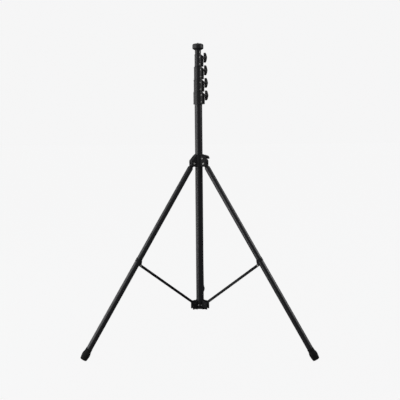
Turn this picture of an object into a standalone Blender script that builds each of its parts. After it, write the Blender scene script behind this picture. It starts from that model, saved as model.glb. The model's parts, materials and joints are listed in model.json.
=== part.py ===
"""Heavy-duty telescopic lighting stand: folding tripod base, four clamped risers, stud head.

Metres, +Z up. The floor is z = 0. The origin lies on the floor, under the centre of the box
that encloses the whole stand. The front faces -Y, between two of the three legs.
"""

import math

import bmesh
import bpy
from mathutils import Matrix

# Nested tubes: one column and four risers inside it
COLUMN_DIAMETER = 0.055
TUBE_WALL = 0.002
RUNNING_GAP = 0.0005
RISER_COUNT = 4
COLUMN_BOTTOM = 0.190
COLUMN_TOP = 1.760
FIRST_RISER_BOTTOM = 0.225
CLEARANCE = 0.0003

# Bushes at the lower ends of the risers
BUSH_FLANGE = 0.010
BUSH_SPIGOT = 0.018
BUSH_BORE = 0.006
BUSH_SPACING = 0.002

# Lock collars on the column and on the first three risers
COLLAR_HEIGHT = 0.0875
COLLAR_GAP = 0.0025
COLLAR_LIP = 0.0075
COLLAR_WALLS = (0.0082, 0.0078, 0.0078, 0.0052)
COLLAR_CHAMFER = 0.0015
LUG_REACH = 0.019
LUG_HALF_WIDTH = 0.015
KNOB_HEIGHT = 0.064
KNOB_REST_ANGLES = (0.10, -0.14, 0.16, -0.08)

# Wing knobs, their screws and the shoes that they press
KNOB_HUB_RADIUS = 0.011
KNOB_HUB_LENGTH = 0.012
KNOB_STANDOFF = 0.0005
WING_ROOT_INSET = 0.0022
WING_ROOT_HEIGHT = 0.0055
WING_TIP_THICKNESS = 0.008
WING_TIP_SETBACK = 0.006
WING_CROWN = 0.001
WING_REACH = 0.026
WING_HALF_SPAN = 0.036
WING_HALF_THICKNESS = 0.0065
SCREW_RADIUS = 0.004
SHOE_RADIUS = 0.0065
SHOE_LENGTH = 0.0072
SHOE_TRAVEL = 0.0009
SHOE_SLACK = 0.0003

# Head with its platform and stud
HEAD_GRIP = 0.034
HEAD_NECK_WALL = 0.004
HEAD_RADIUS = 0.0397
HEAD_THICKNESS = 0.038
HEAD_FLARE = 0.004
HEAD_EDGE = 0.006
STUD_RADIUS = 0.00475
STUD_HEIGHT = 0.009
STUD_SEAT = 0.012
HEAD_SCREW_HEIGHT = 0.011
HEAD_SCREW_AZIMUTH = math.radians(305)
HEAD_SCREW_RADIUS = 0.0045
HEAD_SCREW_LENGTH = 0.0030
HEAD_SCREW_SEAT = 0.0010

# Legs
LEG_AZIMUTHS = (math.radians(210), math.radians(330), math.radians(90))
LEG_ANGLE = math.radians(33.5)
LEG_DIAMETER = 0.040
LEG_LENGTH = 1.491
LEG_HINGE_OUT = 0.0225
LEG_TUBE_START = 0.037
TONGUE_HALF_WIDTH = 0.009
TONGUE_RADIUS = 0.0125
TONGUE_PLAY = 0.0010
FITTING_PLUG = 0.050
FITTING_RIM = 0.004
PIVOT_RADIUS = 0.004
BOLT_HEAD_RADIUS = 0.0070
BOLT_HEAD_LENGTH = 0.0050

# Rubber feet
FOOT_LENGTH = 0.100
FOOT_SOLID = 0.035
FOOT_MOUTH_WALL = 0.0035
FOOT_BULGE_WALL = 0.0070
FOOT_BULGE_FROM_END = 0.040
FOOT_END_WALL = 0.0028
FOOT_EDGE = 0.0020
SOLE_DEPTH = 0.0030

# Leg collar that slides on the column
LEG_COLLAR_ABOVE_HINGE = 0.066
LEG_COLLAR_BELOW_HINGE = 0.024
BUSH_WALL = 0.0025
LEG_COLLAR_WALL = 0.0045
EAR_REACH = 0.019
EAR_WALL = 0.0122
EAR_SHOULDER = 0.022
EAR_INSET = 0.002
EAR_CHAMFER = 0.004
EAR_SLOT_PLAY = 0.002
LEG_KNOB_AZIMUTH = math.radians(30)
LEG_KNOB_ABOVE_HINGE = 0.046
LEG_KNOB_BOSS_RADIUS = 0.013
LEG_KNOB_BOSS_REACH = 0.026
LEG_KNOB_REST_ANGLE = math.radians(78)

# Braces between the legs and the base hub
BRACE_ON_LEG = 0.800
BRACE_OUT = 0.008
BRACE_HALF_WIDTH = 0.012
BRACE_WEB_SIDE = 0.010
BRACE_OPEN_SIDE = 0.008
BRACE_WALL = 0.0025
BRACE_WEB_SETBACK = 0.016
BRACE_PLAY = 0.0005
BRACKET_WALL = 0.0032
BRACKET_BAND_NEAR = 0.013
BRACKET_BAND_FAR = 0.043
BRACKET_LUG_RADIUS = 0.0072
BRACKET_EDGE = 0.004

# Base hub
HUB_PIVOT_OUT = 0.0255
HUB_PIVOT_HEIGHT = 0.228
HUB_BOTTOM = 0.186
HUB_TOP = 0.262
HUB_WALL = 0.0045
CHEEK_WALL = 0.005
CHEEK_REACH = 0.015
CHEEK_BELOW_PIVOT = 0.026
CHEEK_ABOVE_PIVOT = 0.016
CHEEK_SLOT_PLAY = 0.0025
CHEEK_SLOT_SLOPE = 0.19
CHEEK_TOP_EDGE = 0.008
CHEEK_LOW_EDGE = 0.006
CHEEK_LOW_RISE = 0.010
HUB_TAB_OUT = 0.0205
HUB_TAB_HEIGHT = 0.012
HUB_RECESS = 0.0008
CAP_FLANGE = 0.003
CAP_SPIGOT = 0.020

# How far a cutter runs past what it cuts, and the sides of a full circle
PAST = 0.010
ROUND = 24
SMALL_ROUND = 12


def tube_radius(level):
    """Outer radius of the column (level 0) or of a riser (level 1 and up)."""
    return COLUMN_DIAMETER / 2 - level * (TUBE_WALL + RUNNING_GAP)


def tube_top(level):
    if level == RISER_COUNT:
        return collar_bottom(RISER_COUNT) + HEAD_GRIP
    return COLUMN_TOP + level * (COLLAR_HEIGHT + COLLAR_GAP)


def riser_bottom(level):
    return FIRST_RISER_BOTTOM + (level - 1) * (BUSH_FLANGE + BUSH_SPIGOT + BUSH_SPACING)


def collar_bottom(index):
    """Height of a lock collar's lower face; the index after the last collar is the head's."""
    return COLUMN_TOP + COLLAR_LIP - COLLAR_HEIGHT + index * (COLLAR_HEIGHT + COLLAR_GAP)


# What lies on the column or on a leg keeps its distance from that tube's surface.
LEG_HINGE_RADIUS = COLUMN_DIAMETER / 2 + LEG_HINGE_OUT
HUB_PIVOT_RADIUS = COLUMN_DIAMETER / 2 + HUB_PIVOT_OUT
BRACE_OFFSET = LEG_DIAMETER / 2 + BRACE_OUT
FOOT_END_RADIUS = LEG_DIAMETER / 2 + FOOT_END_WALL
EAR_HALF_WIDTH = TONGUE_HALF_WIDTH + CLEARANCE + EAR_WALL
# The foot's end face is square to the leg, and its low edge is cut flat at the floor.
FOOT_RISE = FOOT_END_RADIUS * math.sin(LEG_ANGLE) - SOLE_DEPTH
LEG_HINGE_HEIGHT = LEG_LENGTH * math.cos(LEG_ANGLE) + FOOT_RISE
BRACE_TOP_RADIUS = (LEG_HINGE_RADIUS + BRACE_ON_LEG * math.sin(LEG_ANGLE)
                    - BRACE_OFFSET * math.cos(LEG_ANGLE))
BRACE_TOP_HEIGHT = (LEG_HINGE_HEIGHT - BRACE_ON_LEG * math.cos(LEG_ANGLE)
                    - BRACE_OFFSET * math.sin(LEG_ANGLE))
BRACE_LENGTH = math.hypot(BRACE_TOP_RADIUS - HUB_PIVOT_RADIUS,
                          BRACE_TOP_HEIGHT - HUB_PIVOT_HEIGHT)
BRACE_ANGLE = math.atan2(BRACE_TOP_RADIUS - HUB_PIVOT_RADIUS,
                         BRACE_TOP_HEIGHT - HUB_PIVOT_HEIGHT)
EAR_OUTER_RADIUS = LEG_HINGE_RADIUS + EAR_REACH


def clear_scene():
    for old in list(bpy.data.objects):
        bpy.data.objects.remove(old)


def material(name, colour, roughness, metallic):
    made = bpy.data.materials.new(name)
    made.use_nodes = True
    shader = made.node_tree.nodes["Principled BSDF"]
    shader.inputs["Base Color"].default_value = (*colour, 1)
    shader.inputs["Roughness"].default_value = roughness
    shader.inputs["Metallic"].default_value = metallic
    return made


def lathe(profile, segments=ROUND):
    """A turned solid about +Z; a profile that starts and ends on the axis stays open there."""
    shape = bmesh.new()
    points = [shape.verts.new((radius, 0, height)) for radius, height in profile]
    ends = points[1:] if profile[0][0] == profile[-1][0] == 0 else points[1:] + points[:1]
    edges = [shape.edges.new(pair) for pair in zip(points, ends)]
    bmesh.ops.spin(shape, geom=points + edges, axis=(0, 0, 1), cent=(0, 0, 0),
                   angle=math.tau, steps=segments, use_merge=True)
    bmesh.ops.remove_doubles(shape, verts=shape.verts, dist=1e-6)
    bmesh.ops.recalc_face_normals(shape, faces=shape.faces)
    return shape


def rod(radius, start, end, segments=SMALL_ROUND):
    return lathe([(0, start), (radius, start), (radius, end), (0, end)], segments)


def ring(outer, inner, start, end, segments=ROUND):
    return lathe([(inner, start), (outer, start), (outer, end), (inner, end)], segments)


def prism(outline, half_width):
    """An outline of (x, z) points given a width along Y."""
    shape = bmesh.new()
    face = shape.faces.new([shape.verts.new((x, -half_width, z)) for x, z in outline])
    grown = bmesh.ops.extrude_face_region(shape, geom=[face])["geom"]
    far_side = [item for item in grown if isinstance(item, bmesh.types.BMVert)]
    bmesh.ops.translate(shape, verts=far_side, vec=(0, 2 * half_width, 0))
    bmesh.ops.recalc_face_normals(shape, faces=shape.faces)
    return shape


def box_prism(near, far, low, high, half_width):
    """A block from near to far along X and from low to high along Z."""
    return prism([(near, low), (far, low), (far, high), (near, high)], half_width)


def arc(centre, radius, start, end, steps=8):
    """Points of an arc in (x, z), with angles in degrees from +X towards +Z."""
    angles = [math.radians(start + (end - start) * step / steps) for step in range(steps + 1)]
    return [(centre[0] + radius * math.cos(a), centre[1] + radius * math.sin(a))
            for a in angles]


def placed(shape, *matrices):
    for matrix in matrices:
        bmesh.ops.transform(shape, matrix=matrix, verts=shape.verts)
    return shape


def turned_z(angle):
    return Matrix.Rotation(angle, 4, "Z")


def moved(x=0, y=0, z=0):
    return Matrix.Translation((x, y, z))


ALONG_X = Matrix.Rotation(math.pi / 2, 4, "Y")
ALONG_Y = Matrix.Rotation(-math.pi / 2, 4, "X")


def mesh_of(shape):
    made = bpy.data.meshes.new("shape")
    shape.to_mesh(made)
    shape.free()
    return made


def combined(base, steps):
    """The mesh of a shape after each (operation, shape) Boolean in turn."""
    helpers = [bpy.data.objects.new("helper", mesh_of(shape))
               for shape in [base] + [tool for _, tool in steps]]
    for helper in helpers:
        bpy.context.scene.collection.objects.link(helper)
        helper.hide_render = True
        helper.display_type = "WIRE"
    target = helpers[0]
    for (operation, _), helper in zip(steps, helpers[1:]):
        modifier = target.modifiers.new(operation, "BOOLEAN")
        modifier.operation = operation
        modifier.solver = "EXACT"
        modifier.object = helper
    graph = bpy.context.evaluated_depsgraph_get()
    made = bpy.data.meshes.new_from_object(target.evaluated_get(graph))
    for helper in helpers:
        bpy.data.objects.remove(helper)
    return made


def add(name, shape, finish, parent, location=(0, 0, 0), rotation=(0, 0, 0)):
    """A named piece from a bmesh or a mesh, smooth where it is round."""
    mesh = mesh_of(shape) if isinstance(shape, bmesh.types.BMesh) else shape
    mesh.name = name
    mesh.materials.clear()
    mesh.materials.append(finish)
    mesh.shade_smooth()
    mesh.set_sharp_from_angle(angle=math.radians(35))
    piece = bpy.data.objects.new(name, mesh)
    bpy.context.scene.collection.objects.link(piece)
    piece.parent = parent
    piece.location = location
    piece.rotation_euler = rotation
    return piece


def axis_empty(name, parent, location=(0, 0, 0), rotation=(0, 0, 0)):
    made = bpy.data.objects.new(name, None)
    bpy.context.scene.collection.objects.link(made)
    made.parent = parent
    made.location = location
    made.rotation_euler = rotation
    return made


def shoe_inner(next_radius):
    """Where a shoe's inner face lies, just off the tube that it clamps."""
    return next_radius + SHOE_SLACK


def shoe_cut(next_radius, lug_end):
    """The stepped bore along X for a shoe and for the screw behind it."""
    shoe_end = shoe_inner(next_radius) + SHOE_LENGTH + 2 * SHOE_TRAVEL + CLEARANCE
    wide = SHOE_RADIUS + CLEARANCE
    narrow = SCREW_RADIUS + CLEARANCE
    profile = [(0, 0), (wide, 0), (wide, shoe_end), (narrow, shoe_end),
               (narrow, lug_end + PAST), (0, lug_end + PAST)]
    return placed(lathe(profile, SMALL_ROUND), ALONG_X)


def lock_collar_mesh(index):
    """A clamp collar with its knob lug on the +X side; z = 0 is its lower face."""
    tube, riser = tube_radius(index), tube_radius(index + 1)
    outer = tube + CLEARANCE + COLLAR_WALLS[index]
    seat = COLLAR_HEIGHT - COLLAR_LIP + CLEARANCE
    edge = COLLAR_CHAMFER
    body = lathe([
        (tube + CLEARANCE, 0), (outer - edge, 0), (outer, edge),
        (outer, COLLAR_HEIGHT - 2 * edge), (outer - 2 * edge, COLLAR_HEIGHT),
        (riser + RUNNING_GAP, COLLAR_HEIGHT), (riser + RUNNING_GAP, seat),
        (tube + CLEARANCE, seat)])
    lug_end = tube + LUG_REACH
    inside = tube + COLLAR_WALLS[index] / 2
    shoulder = KNOB_HEIGHT + KNOB_HUB_RADIUS
    lug = prism([(inside, edge), (lug_end - edge, edge), (lug_end, 2 * edge),
                 (lug_end, shoulder), (outer, COLLAR_HEIGHT - 3 * edge),
                 (inside, COLLAR_HEIGHT - 3 * edge)], LUG_HALF_WIDTH)
    bore = placed(shoe_cut(riser, lug_end), moved(z=KNOB_HEIGHT))
    return combined(body, [("UNION", lug), ("DIFFERENCE", bore)])


def knob_mesh(screw_length):
    """A wing knob along +X from the face that it stands on, with its screw behind it."""
    hub_end = KNOB_STANDOFF + KNOB_HUB_LENGTH
    hub = placed(lathe([
        (0, -screw_length), (SCREW_RADIUS, -screw_length), (SCREW_RADIUS, KNOB_STANDOFF),
        (KNOB_HUB_RADIUS, KNOB_STANDOFF), (KNOB_HUB_RADIUS, hub_end), (0, hub_end)],
        SMALL_ROUND), ALONG_X)
    root, tip = KNOB_HUB_RADIUS - WING_ROOT_INSET, WING_HALF_SPAN
    end = KNOB_STANDOFF + WING_REACH
    tip_end = end - WING_TIP_SETBACK
    lower = [(KNOB_STANDOFF + WING_ROOT_HEIGHT, -root), (tip_end - WING_TIP_THICKNESS, -tip),
             (tip_end, -tip), (end - WING_CROWN, -tip / 2)]
    upper = [(x, -z) for x, z in reversed(lower)]
    wing = prism(lower + [(end, 0)] + upper, WING_HALF_THICKNESS)
    return combined(hub, [("UNION", wing)])


def shoe_mesh(next_radius):
    """A round shoe along +X, from just off the clamped tube."""
    start = shoe_inner(next_radius)
    return mesh_of(placed(rod(SHOE_RADIUS, start, start + SHOE_LENGTH), ALONG_X))


def screw_length_to(next_radius, face):
    """From a knob's standing face in to the back of its shoe, with room to back off."""
    return face - (shoe_inner(next_radius) + SHOE_LENGTH + SHOE_TRAVEL + CLEARANCE)


def pierced_tube(level, start, end, hole_height=None):
    radius = tube_radius(level)
    pipe = ring(radius, radius - TUBE_WALL, start, end)
    if hole_height is None:
        return pipe
    drill = placed(rod(SHOE_RADIUS + CLEARANCE, 0, radius + PAST), ALONG_X, moved(z=hole_height))
    return combined(pipe, [("DIFFERENCE", drill)])


def make_mast(stand, finish):
    """Column tube, risers with their lower bushes, and the lock collars on top of each."""
    carriers = [stand]
    for level in range(RISER_COUNT + 1):
        name = "column_tube" if level == 0 else f"riser_{level}_tube"
        if level:
            carriers.append(axis_empty(f"riser_{level}_slide", carriers[-1]))
        start = COLUMN_BOTTOM if level == 0 else riser_bottom(level)
        hole = None if level == RISER_COUNT else collar_bottom(level) + KNOB_HEIGHT
        add(name, pierced_tube(level, start, tube_top(level), hole),
            finish["tube"], carriers[level])
        if level:
            make_bush(level, carriers[level], finish["plastic"])
        if level < RISER_COUNT:
            make_lock_collar(level, carriers[level], finish)
    return carriers[-1]


def make_bush(level, carrier, plastic):
    outer_bore = tube_radius(level - 1) - TUBE_WALL
    inner_bore = tube_radius(level) - TUBE_WALL
    seat = riser_bottom(level) - CLEARANCE
    add(f"riser_{level}_bush", lathe([
        (BUSH_BORE, seat - BUSH_FLANGE), (outer_bore - CLEARANCE, seat - BUSH_FLANGE),
        (outer_bore - CLEARANCE, seat), (inner_bore - CLEARANCE, seat),
        (inner_bore - CLEARANCE, seat + BUSH_SPIGOT), (BUSH_BORE, seat + BUSH_SPIGOT)]),
        plastic, carrier)


def make_lock_collar(index, carrier, finish):
    number = index + 1
    bottom = collar_bottom(index)
    add(f"lock_collar_{number}", lock_collar_mesh(index), finish["casting"], carrier,
        (0, 0, bottom))
    face = tube_radius(index) + LUG_REACH
    riser = tube_radius(index + 1)
    add(f"lock_knob_{number}", knob_mesh(screw_length_to(riser, face)), finish["knob"],
        carrier, (face, 0, bottom + KNOB_HEIGHT), (KNOB_REST_ANGLES[index], 0, 0))
    add(f"lock_shoe_{number}", shoe_mesh(riser), finish["plastic"], carrier,
        (0, 0, bottom + KNOB_HEIGHT))


def make_head(carrier, finish):
    """The platform casting on the last riser, its stud and its set screw."""
    bottom = collar_bottom(RISER_COUNT)
    bore = tube_radius(RISER_COUNT) + CLEARANCE
    neck = bore + HEAD_NECK_WALL
    under = bottom + HEAD_GRIP + HEAD_FLARE
    top = under + HEAD_THICKNESS - HEAD_FLARE
    hole = STUD_RADIUS + CLEARANCE
    round_low = arc((HEAD_RADIUS - HEAD_EDGE, under + HEAD_EDGE), HEAD_EDGE, -90, 0, 4)
    round_high = arc((HEAD_RADIUS - HEAD_EDGE, top - HEAD_EDGE), HEAD_EDGE, 0, 90, 4)
    casting = lathe(
        [(bore, bottom), (neck, bottom), (neck, under - 2 * HEAD_FLARE)]
        + round_low + round_high
        + [(hole, top), (hole, top - STUD_SEAT), (0, top - STUD_SEAT),
           (0, bottom + HEAD_GRIP + CLEARANCE), (bore, bottom + HEAD_GRIP + CLEARANCE)])
    drill = placed(rod(HEAD_SCREW_RADIUS + CLEARANCE, bore + HEAD_SCREW_SEAT, neck + PAST), ALONG_X,
                   moved(z=bottom + HEAD_SCREW_HEIGHT), turned_z(HEAD_SCREW_AZIMUTH))
    add("head_platform", combined(casting, [("DIFFERENCE", drill)]), finish["casting"], carrier)
    add("head_stud", rod(STUD_RADIUS, top - STUD_SEAT + CLEARANCE, top + STUD_HEIGHT),
        finish["steel"], carrier)
    start = bore + HEAD_SCREW_SEAT + CLEARANCE
    add("head_screw", placed(rod(HEAD_SCREW_RADIUS, start, start + HEAD_SCREW_LENGTH), ALONG_X,
                             moved(z=bottom + HEAD_SCREW_HEIGHT), turned_z(HEAD_SCREW_AZIMUTH)),
        finish["steel"], carrier)


def ear_block():
    """One solid ear of the leg collar on the +X side, before its slot; z = 0 is the hinge."""
    wall = tube_radius(0) + RUNNING_GAP + BUSH_WALL + LEG_COLLAR_WALL
    low = EAR_INSET - LEG_COLLAR_BELOW_HINGE
    high = LEG_COLLAR_ABOVE_HINGE - EAR_INSET
    outer = EAR_OUTER_RADIUS
    within = wall / 4
    return prism([(within, low), (outer - EAR_CHAMFER, low), (outer, low + EAR_CHAMFER),
                  (outer, EAR_SHOULDER), (wall, high), (within, high)],
                 EAR_HALF_WIDTH)


def leg_collar_mesh():
    """The sliding collar with three slotted ears and a knob boss; z = 0 is the hinge height."""
    bore = tube_radius(0) + RUNNING_GAP + BUSH_WALL + CLEARANCE
    outer = bore + LEG_COLLAR_WALL
    low, high = -LEG_COLLAR_BELOW_HINGE, LEG_COLLAR_ABOVE_HINGE
    body = rod(outer, low, high, ROUND)
    steps = []
    for azimuth in LEG_AZIMUTHS:
        steps.append(("UNION", placed(ear_block(), turned_z(azimuth))))
    boss = placed(rod(LEG_KNOB_BOSS_RADIUS, outer - LEG_COLLAR_WALL / 2,
                      tube_radius(0) + LEG_KNOB_BOSS_REACH), ALONG_X,
                  moved(z=LEG_KNOB_ABOVE_HINGE), turned_z(LEG_KNOB_AZIMUTH))
    steps.append(("UNION", boss))
    steps.append(("DIFFERENCE", rod(bore, low - PAST, high + PAST, ROUND)))
    slot_half = TONGUE_HALF_WIDTH + CLEARANCE
    slot_in = LEG_HINGE_RADIUS - TONGUE_RADIUS - TONGUE_PLAY
    slot_out = EAR_OUTER_RADIUS + PAST
    slot_top = TONGUE_RADIUS + EAR_SLOT_PLAY
    for azimuth in LEG_AZIMUTHS:
        slot = box_prism(slot_in, slot_out, low - PAST, slot_top, slot_half)
        steps.append(("DIFFERENCE", placed(slot, turned_z(azimuth))))
        steps.append(("DIFFERENCE", placed(pivot_hole(EAR_HALF_WIDTH),
                                           moved(x=LEG_HINGE_RADIUS), turned_z(azimuth))))
    drill = placed(shoe_cut(tube_radius(0), tube_radius(0) + LEG_KNOB_BOSS_REACH),
                   moved(z=LEG_KNOB_ABOVE_HINGE), turned_z(LEG_KNOB_AZIMUTH))
    steps.append(("DIFFERENCE", drill))
    return combined(body, steps)


def bolt(half_grip):
    """A pivot bolt along Y with its head and nut just clear of what it holds."""
    inner = half_grip + CLEARANCE
    outer = inner + BOLT_HEAD_LENGTH
    return placed(lathe([
        (0, -outer), (BOLT_HEAD_RADIUS, -outer), (BOLT_HEAD_RADIUS, -inner),
        (PIVOT_RADIUS, -inner), (PIVOT_RADIUS, inner), (BOLT_HEAD_RADIUS, inner),
        (BOLT_HEAD_RADIUS, outer), (0, outer)], SMALL_ROUND), ALONG_Y)


def make_leg_collar(stand, finish):
    slide = axis_empty("leg_collar_slide", stand, (0, 0, LEG_HINGE_HEIGHT))
    add("leg_collar", leg_collar_mesh(), finish["casting"], slide)
    bore = tube_radius(0) + RUNNING_GAP
    drill = placed(rod(SHOE_RADIUS + CLEARANCE, 0, bore + BUSH_WALL + PAST), ALONG_X,
                   moved(z=LEG_KNOB_ABOVE_HINGE), turned_z(LEG_KNOB_AZIMUTH))
    liner = ring(bore + BUSH_WALL, bore, -LEG_COLLAR_BELOW_HINGE, LEG_COLLAR_ABOVE_HINGE)
    add("leg_collar_bush", combined(liner, [("DIFFERENCE", drill)]), finish["plastic"], slide)
    knob_frame = axis_empty("leg_collar_knob_frame", slide, (0, 0, LEG_KNOB_ABOVE_HINGE),
                            (0, 0, LEG_KNOB_AZIMUTH))
    face = tube_radius(0) + LEG_KNOB_BOSS_REACH
    add("leg_collar_knob", knob_mesh(screw_length_to(tube_radius(0), face)), finish["knob"],
        knob_frame, (face, 0, 0), (LEG_KNOB_REST_ANGLE, 0, 0))
    add("leg_collar_shoe", shoe_mesh(tube_radius(0)), finish["plastic"], knob_frame)
    for number, azimuth in enumerate(LEG_AZIMUTHS, 1):
        sector = axis_empty(f"leg_{number}_sector", slide, rotation=(0, 0, azimuth))
        add(f"leg_{number}_pivot_bolt", bolt(EAR_HALF_WIDTH), finish["steel"], sector,
            (LEG_HINGE_RADIUS, 0, 0))
        hinge = axis_empty(f"leg_{number}_hinge", sector, (LEG_HINGE_RADIUS, 0, 0),
                           (0, -LEG_ANGLE, 0))
        make_leg(number, hinge, finish)


def pivot_hole(half_width):
    """A drill along Y for a pivot bolt through something of this half width."""
    reach = half_width + PAST
    return placed(rod(PIVOT_RADIUS + CLEARANCE, -reach, reach), ALONG_Y)


def top_fitting_mesh():
    """The plug in a leg's top, with the tongue that swings on the pivot bolt at z = 0."""
    radius = LEG_DIAMETER / 2
    plug = radius - TUBE_WALL - CLEARANCE
    rim_top = -LEG_TUBE_START + CLEARANCE + FITTING_RIM
    body = rod(plug, -LEG_TUBE_START - FITTING_PLUG, rim_top, ROUND)
    rim = rod(radius, -LEG_TUBE_START + CLEARANCE, rim_top, ROUND)
    outline = arc((0, 0), TONGUE_RADIUS, 0, 180, 12)
    foot = rim_top - FITTING_RIM / 2
    tongue = prism([(TONGUE_RADIUS, foot)] + outline + [(-TONGUE_RADIUS, foot)],
                   TONGUE_HALF_WIDTH)
    return combined(body, [("UNION", rim), ("UNION", tongue),
                           ("DIFFERENCE", pivot_hole(TONGUE_HALF_WIDTH))])


def foot_shape():
    """The rubber foot along the leg, cut flat where it stands on the floor."""
    end = -LEG_LENGTH
    mouth = end + FOOT_LENGTH
    bore = LEG_DIAMETER / 2 + CLEARANCE
    mouth_radius = LEG_DIAMETER / 2 + FOOT_MOUTH_WALL
    bulge_radius = LEG_DIAMETER / 2 + FOOT_BULGE_WALL
    edge = FOOT_EDGE
    shape = lathe([
        (0, end), (FOOT_END_RADIUS - edge, end), (FOOT_END_RADIUS, end + edge),
        (bulge_radius - edge, end + FOOT_BULGE_FROM_END / 2),
        (bulge_radius, end + FOOT_BULGE_FROM_END),
        (mouth_radius, mouth - edge), (mouth_radius - edge / 2, mouth),
        (bore, mouth), (bore, end + FOOT_SOLID), (0, end + FOOT_SOLID)])
    up = Matrix.Rotation(LEG_ANGLE, 3, "Y").col[2]
    floor_point = -up * LEG_HINGE_HEIGHT
    cut = bmesh.ops.bisect_plane(
        shape, geom=shape.verts[:] + shape.edges[:] + shape.faces[:], plane_co=floor_point,
        plane_no=up, clear_inner=True)
    rim = [item for item in cut["geom_cut"] if isinstance(item, bmesh.types.BMEdge)]
    bmesh.ops.edgeloop_fill(shape, edges=rim)
    bmesh.ops.recalc_face_normals(shape, faces=shape.faces)
    return shape


def bracket_mesh():
    """The band on a leg with the inward lug that a brace hinges on; z = 0 is the brace pivot."""
    bore = LEG_DIAMETER / 2 + CLEARANCE
    outer = bore + BRACKET_WALL
    band = rod(outer, BRACKET_BAND_NEAR, BRACKET_BAND_FAR, ROUND)
    pivot = (-BRACE_OFFSET, 0)
    nose = arc(pivot, BRACKET_LUG_RADIUS, -90, -200, 8)
    half_width = BRACE_HALF_WIDTH - BRACE_WALL - BRACE_PLAY
    within = BRACKET_WALL - LEG_DIAMETER / 2
    shoulder = BRACKET_BAND_FAR - BRACKET_EDGE
    lug = prism([(within, -BRACKET_LUG_RADIUS)] + nose
                + [(-outer - 2 * BRACE_PLAY, shoulder), (within, shoulder)], half_width)
    tunnel = rod(bore, -BRACKET_LUG_RADIUS - PAST, BRACKET_BAND_FAR + PAST, ROUND)
    hole = placed(pivot_hole(half_width), moved(x=-BRACE_OFFSET))
    return combined(band, [("UNION", lug), ("DIFFERENCE", tunnel), ("DIFFERENCE", hole)])


def brace_mesh():
    """A channel from its upper pivot (z = 0) down to its lower one, open on the +X side."""
    mid = (BRACE_OPEN_SIDE - BRACE_WEB_SIDE) / 2
    depth = (BRACE_OPEN_SIDE + BRACE_WEB_SIDE) / 2
    lower = -BRACE_LENGTH
    outline = arc((mid, 0), depth, 0, 180, 10) + arc((mid, lower), depth, 180, 360, 10)
    body = prism(outline, BRACE_HALF_WIDTH)
    inside = BRACE_HALF_WIDTH - BRACE_WALL
    web = -BRACE_WEB_SIDE + BRACE_WALL
    beyond = depth + PAST
    trough = box_prism(web, BRACE_OPEN_SIDE + PAST, lower - beyond, beyond, inside)
    steps = [("DIFFERENCE", trough)]
    for low, high in ((lower - beyond, lower + BRACE_WEB_SETBACK), (-BRACE_WEB_SETBACK, beyond)):
        gap = box_prism(-BRACE_WEB_SIDE - PAST, web + BRACE_PLAY, low, high, inside)
        steps.append(("DIFFERENCE", gap))
    for height in (0, lower):
        hole = placed(pivot_hole(BRACE_HALF_WIDTH), moved(z=height))
        steps.append(("DIFFERENCE", hole))
    return combined(body, steps)


def make_leg(number, hinge, finish):
    """One leg on its hinge, with -Z along the leg and +X on its outer side."""
    name = f"leg_{number}"
    radius = LEG_DIAMETER / 2
    tube_end = -LEG_LENGTH + FOOT_SOLID + CLEARANCE
    add(f"{name}_top_fitting", top_fitting_mesh(), finish["casting"], hinge)
    add(f"{name}_tube", ring(radius, radius - TUBE_WALL, tube_end, -LEG_TUBE_START),
        finish["tube"], hinge)
    add(f"{name}_foot", foot_shape(), finish["rubber"], hinge)
    add(f"{name}_brace_bracket", bracket_mesh(), finish["casting"], hinge,
        (0, 0, -BRACE_ON_LEG))
    add(f"brace_{number}_upper_bolt", bolt(BRACE_HALF_WIDTH), finish["steel"], hinge,
        (-BRACE_OFFSET, 0, -BRACE_ON_LEG))
    pivot = axis_empty(f"brace_{number}_hinge", hinge, (-BRACE_OFFSET, 0, -BRACE_ON_LEG),
                       (0, LEG_ANGLE + BRACE_ANGLE, 0))
    add(f"brace_{number}", brace_mesh(), finish["tube"], pivot)
    cheek_outside = BRACE_HALF_WIDTH + CLEARANCE + CHEEK_WALL
    add(f"brace_{number}_lower_bolt", bolt(cheek_outside), finish["steel"], pivot,
        (0, 0, -BRACE_LENGTH))


def hub_cheek_tool():
    """Both cheeks of one hub arm on the +X side, as a block without its slot."""
    inside = tube_radius(0) + HUB_WALL / 2
    outer = HUB_PIVOT_RADIUS + CHEEK_REACH
    low = HUB_PIVOT_HEIGHT - CHEEK_BELOW_PIVOT
    high = HUB_PIVOT_HEIGHT + CHEEK_ABOVE_PIVOT
    half_width = BRACE_HALF_WIDTH + CLEARANCE + CHEEK_WALL
    corner = arc((outer - CHEEK_TOP_EDGE, high - CHEEK_TOP_EDGE), CHEEK_TOP_EDGE, 0, 90, 4)
    return prism([(inside, low), (outer - CHEEK_LOW_EDGE, low), (outer, low + CHEEK_LOW_RISE)]
                 + corner + [(inside, high)], half_width)


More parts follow.
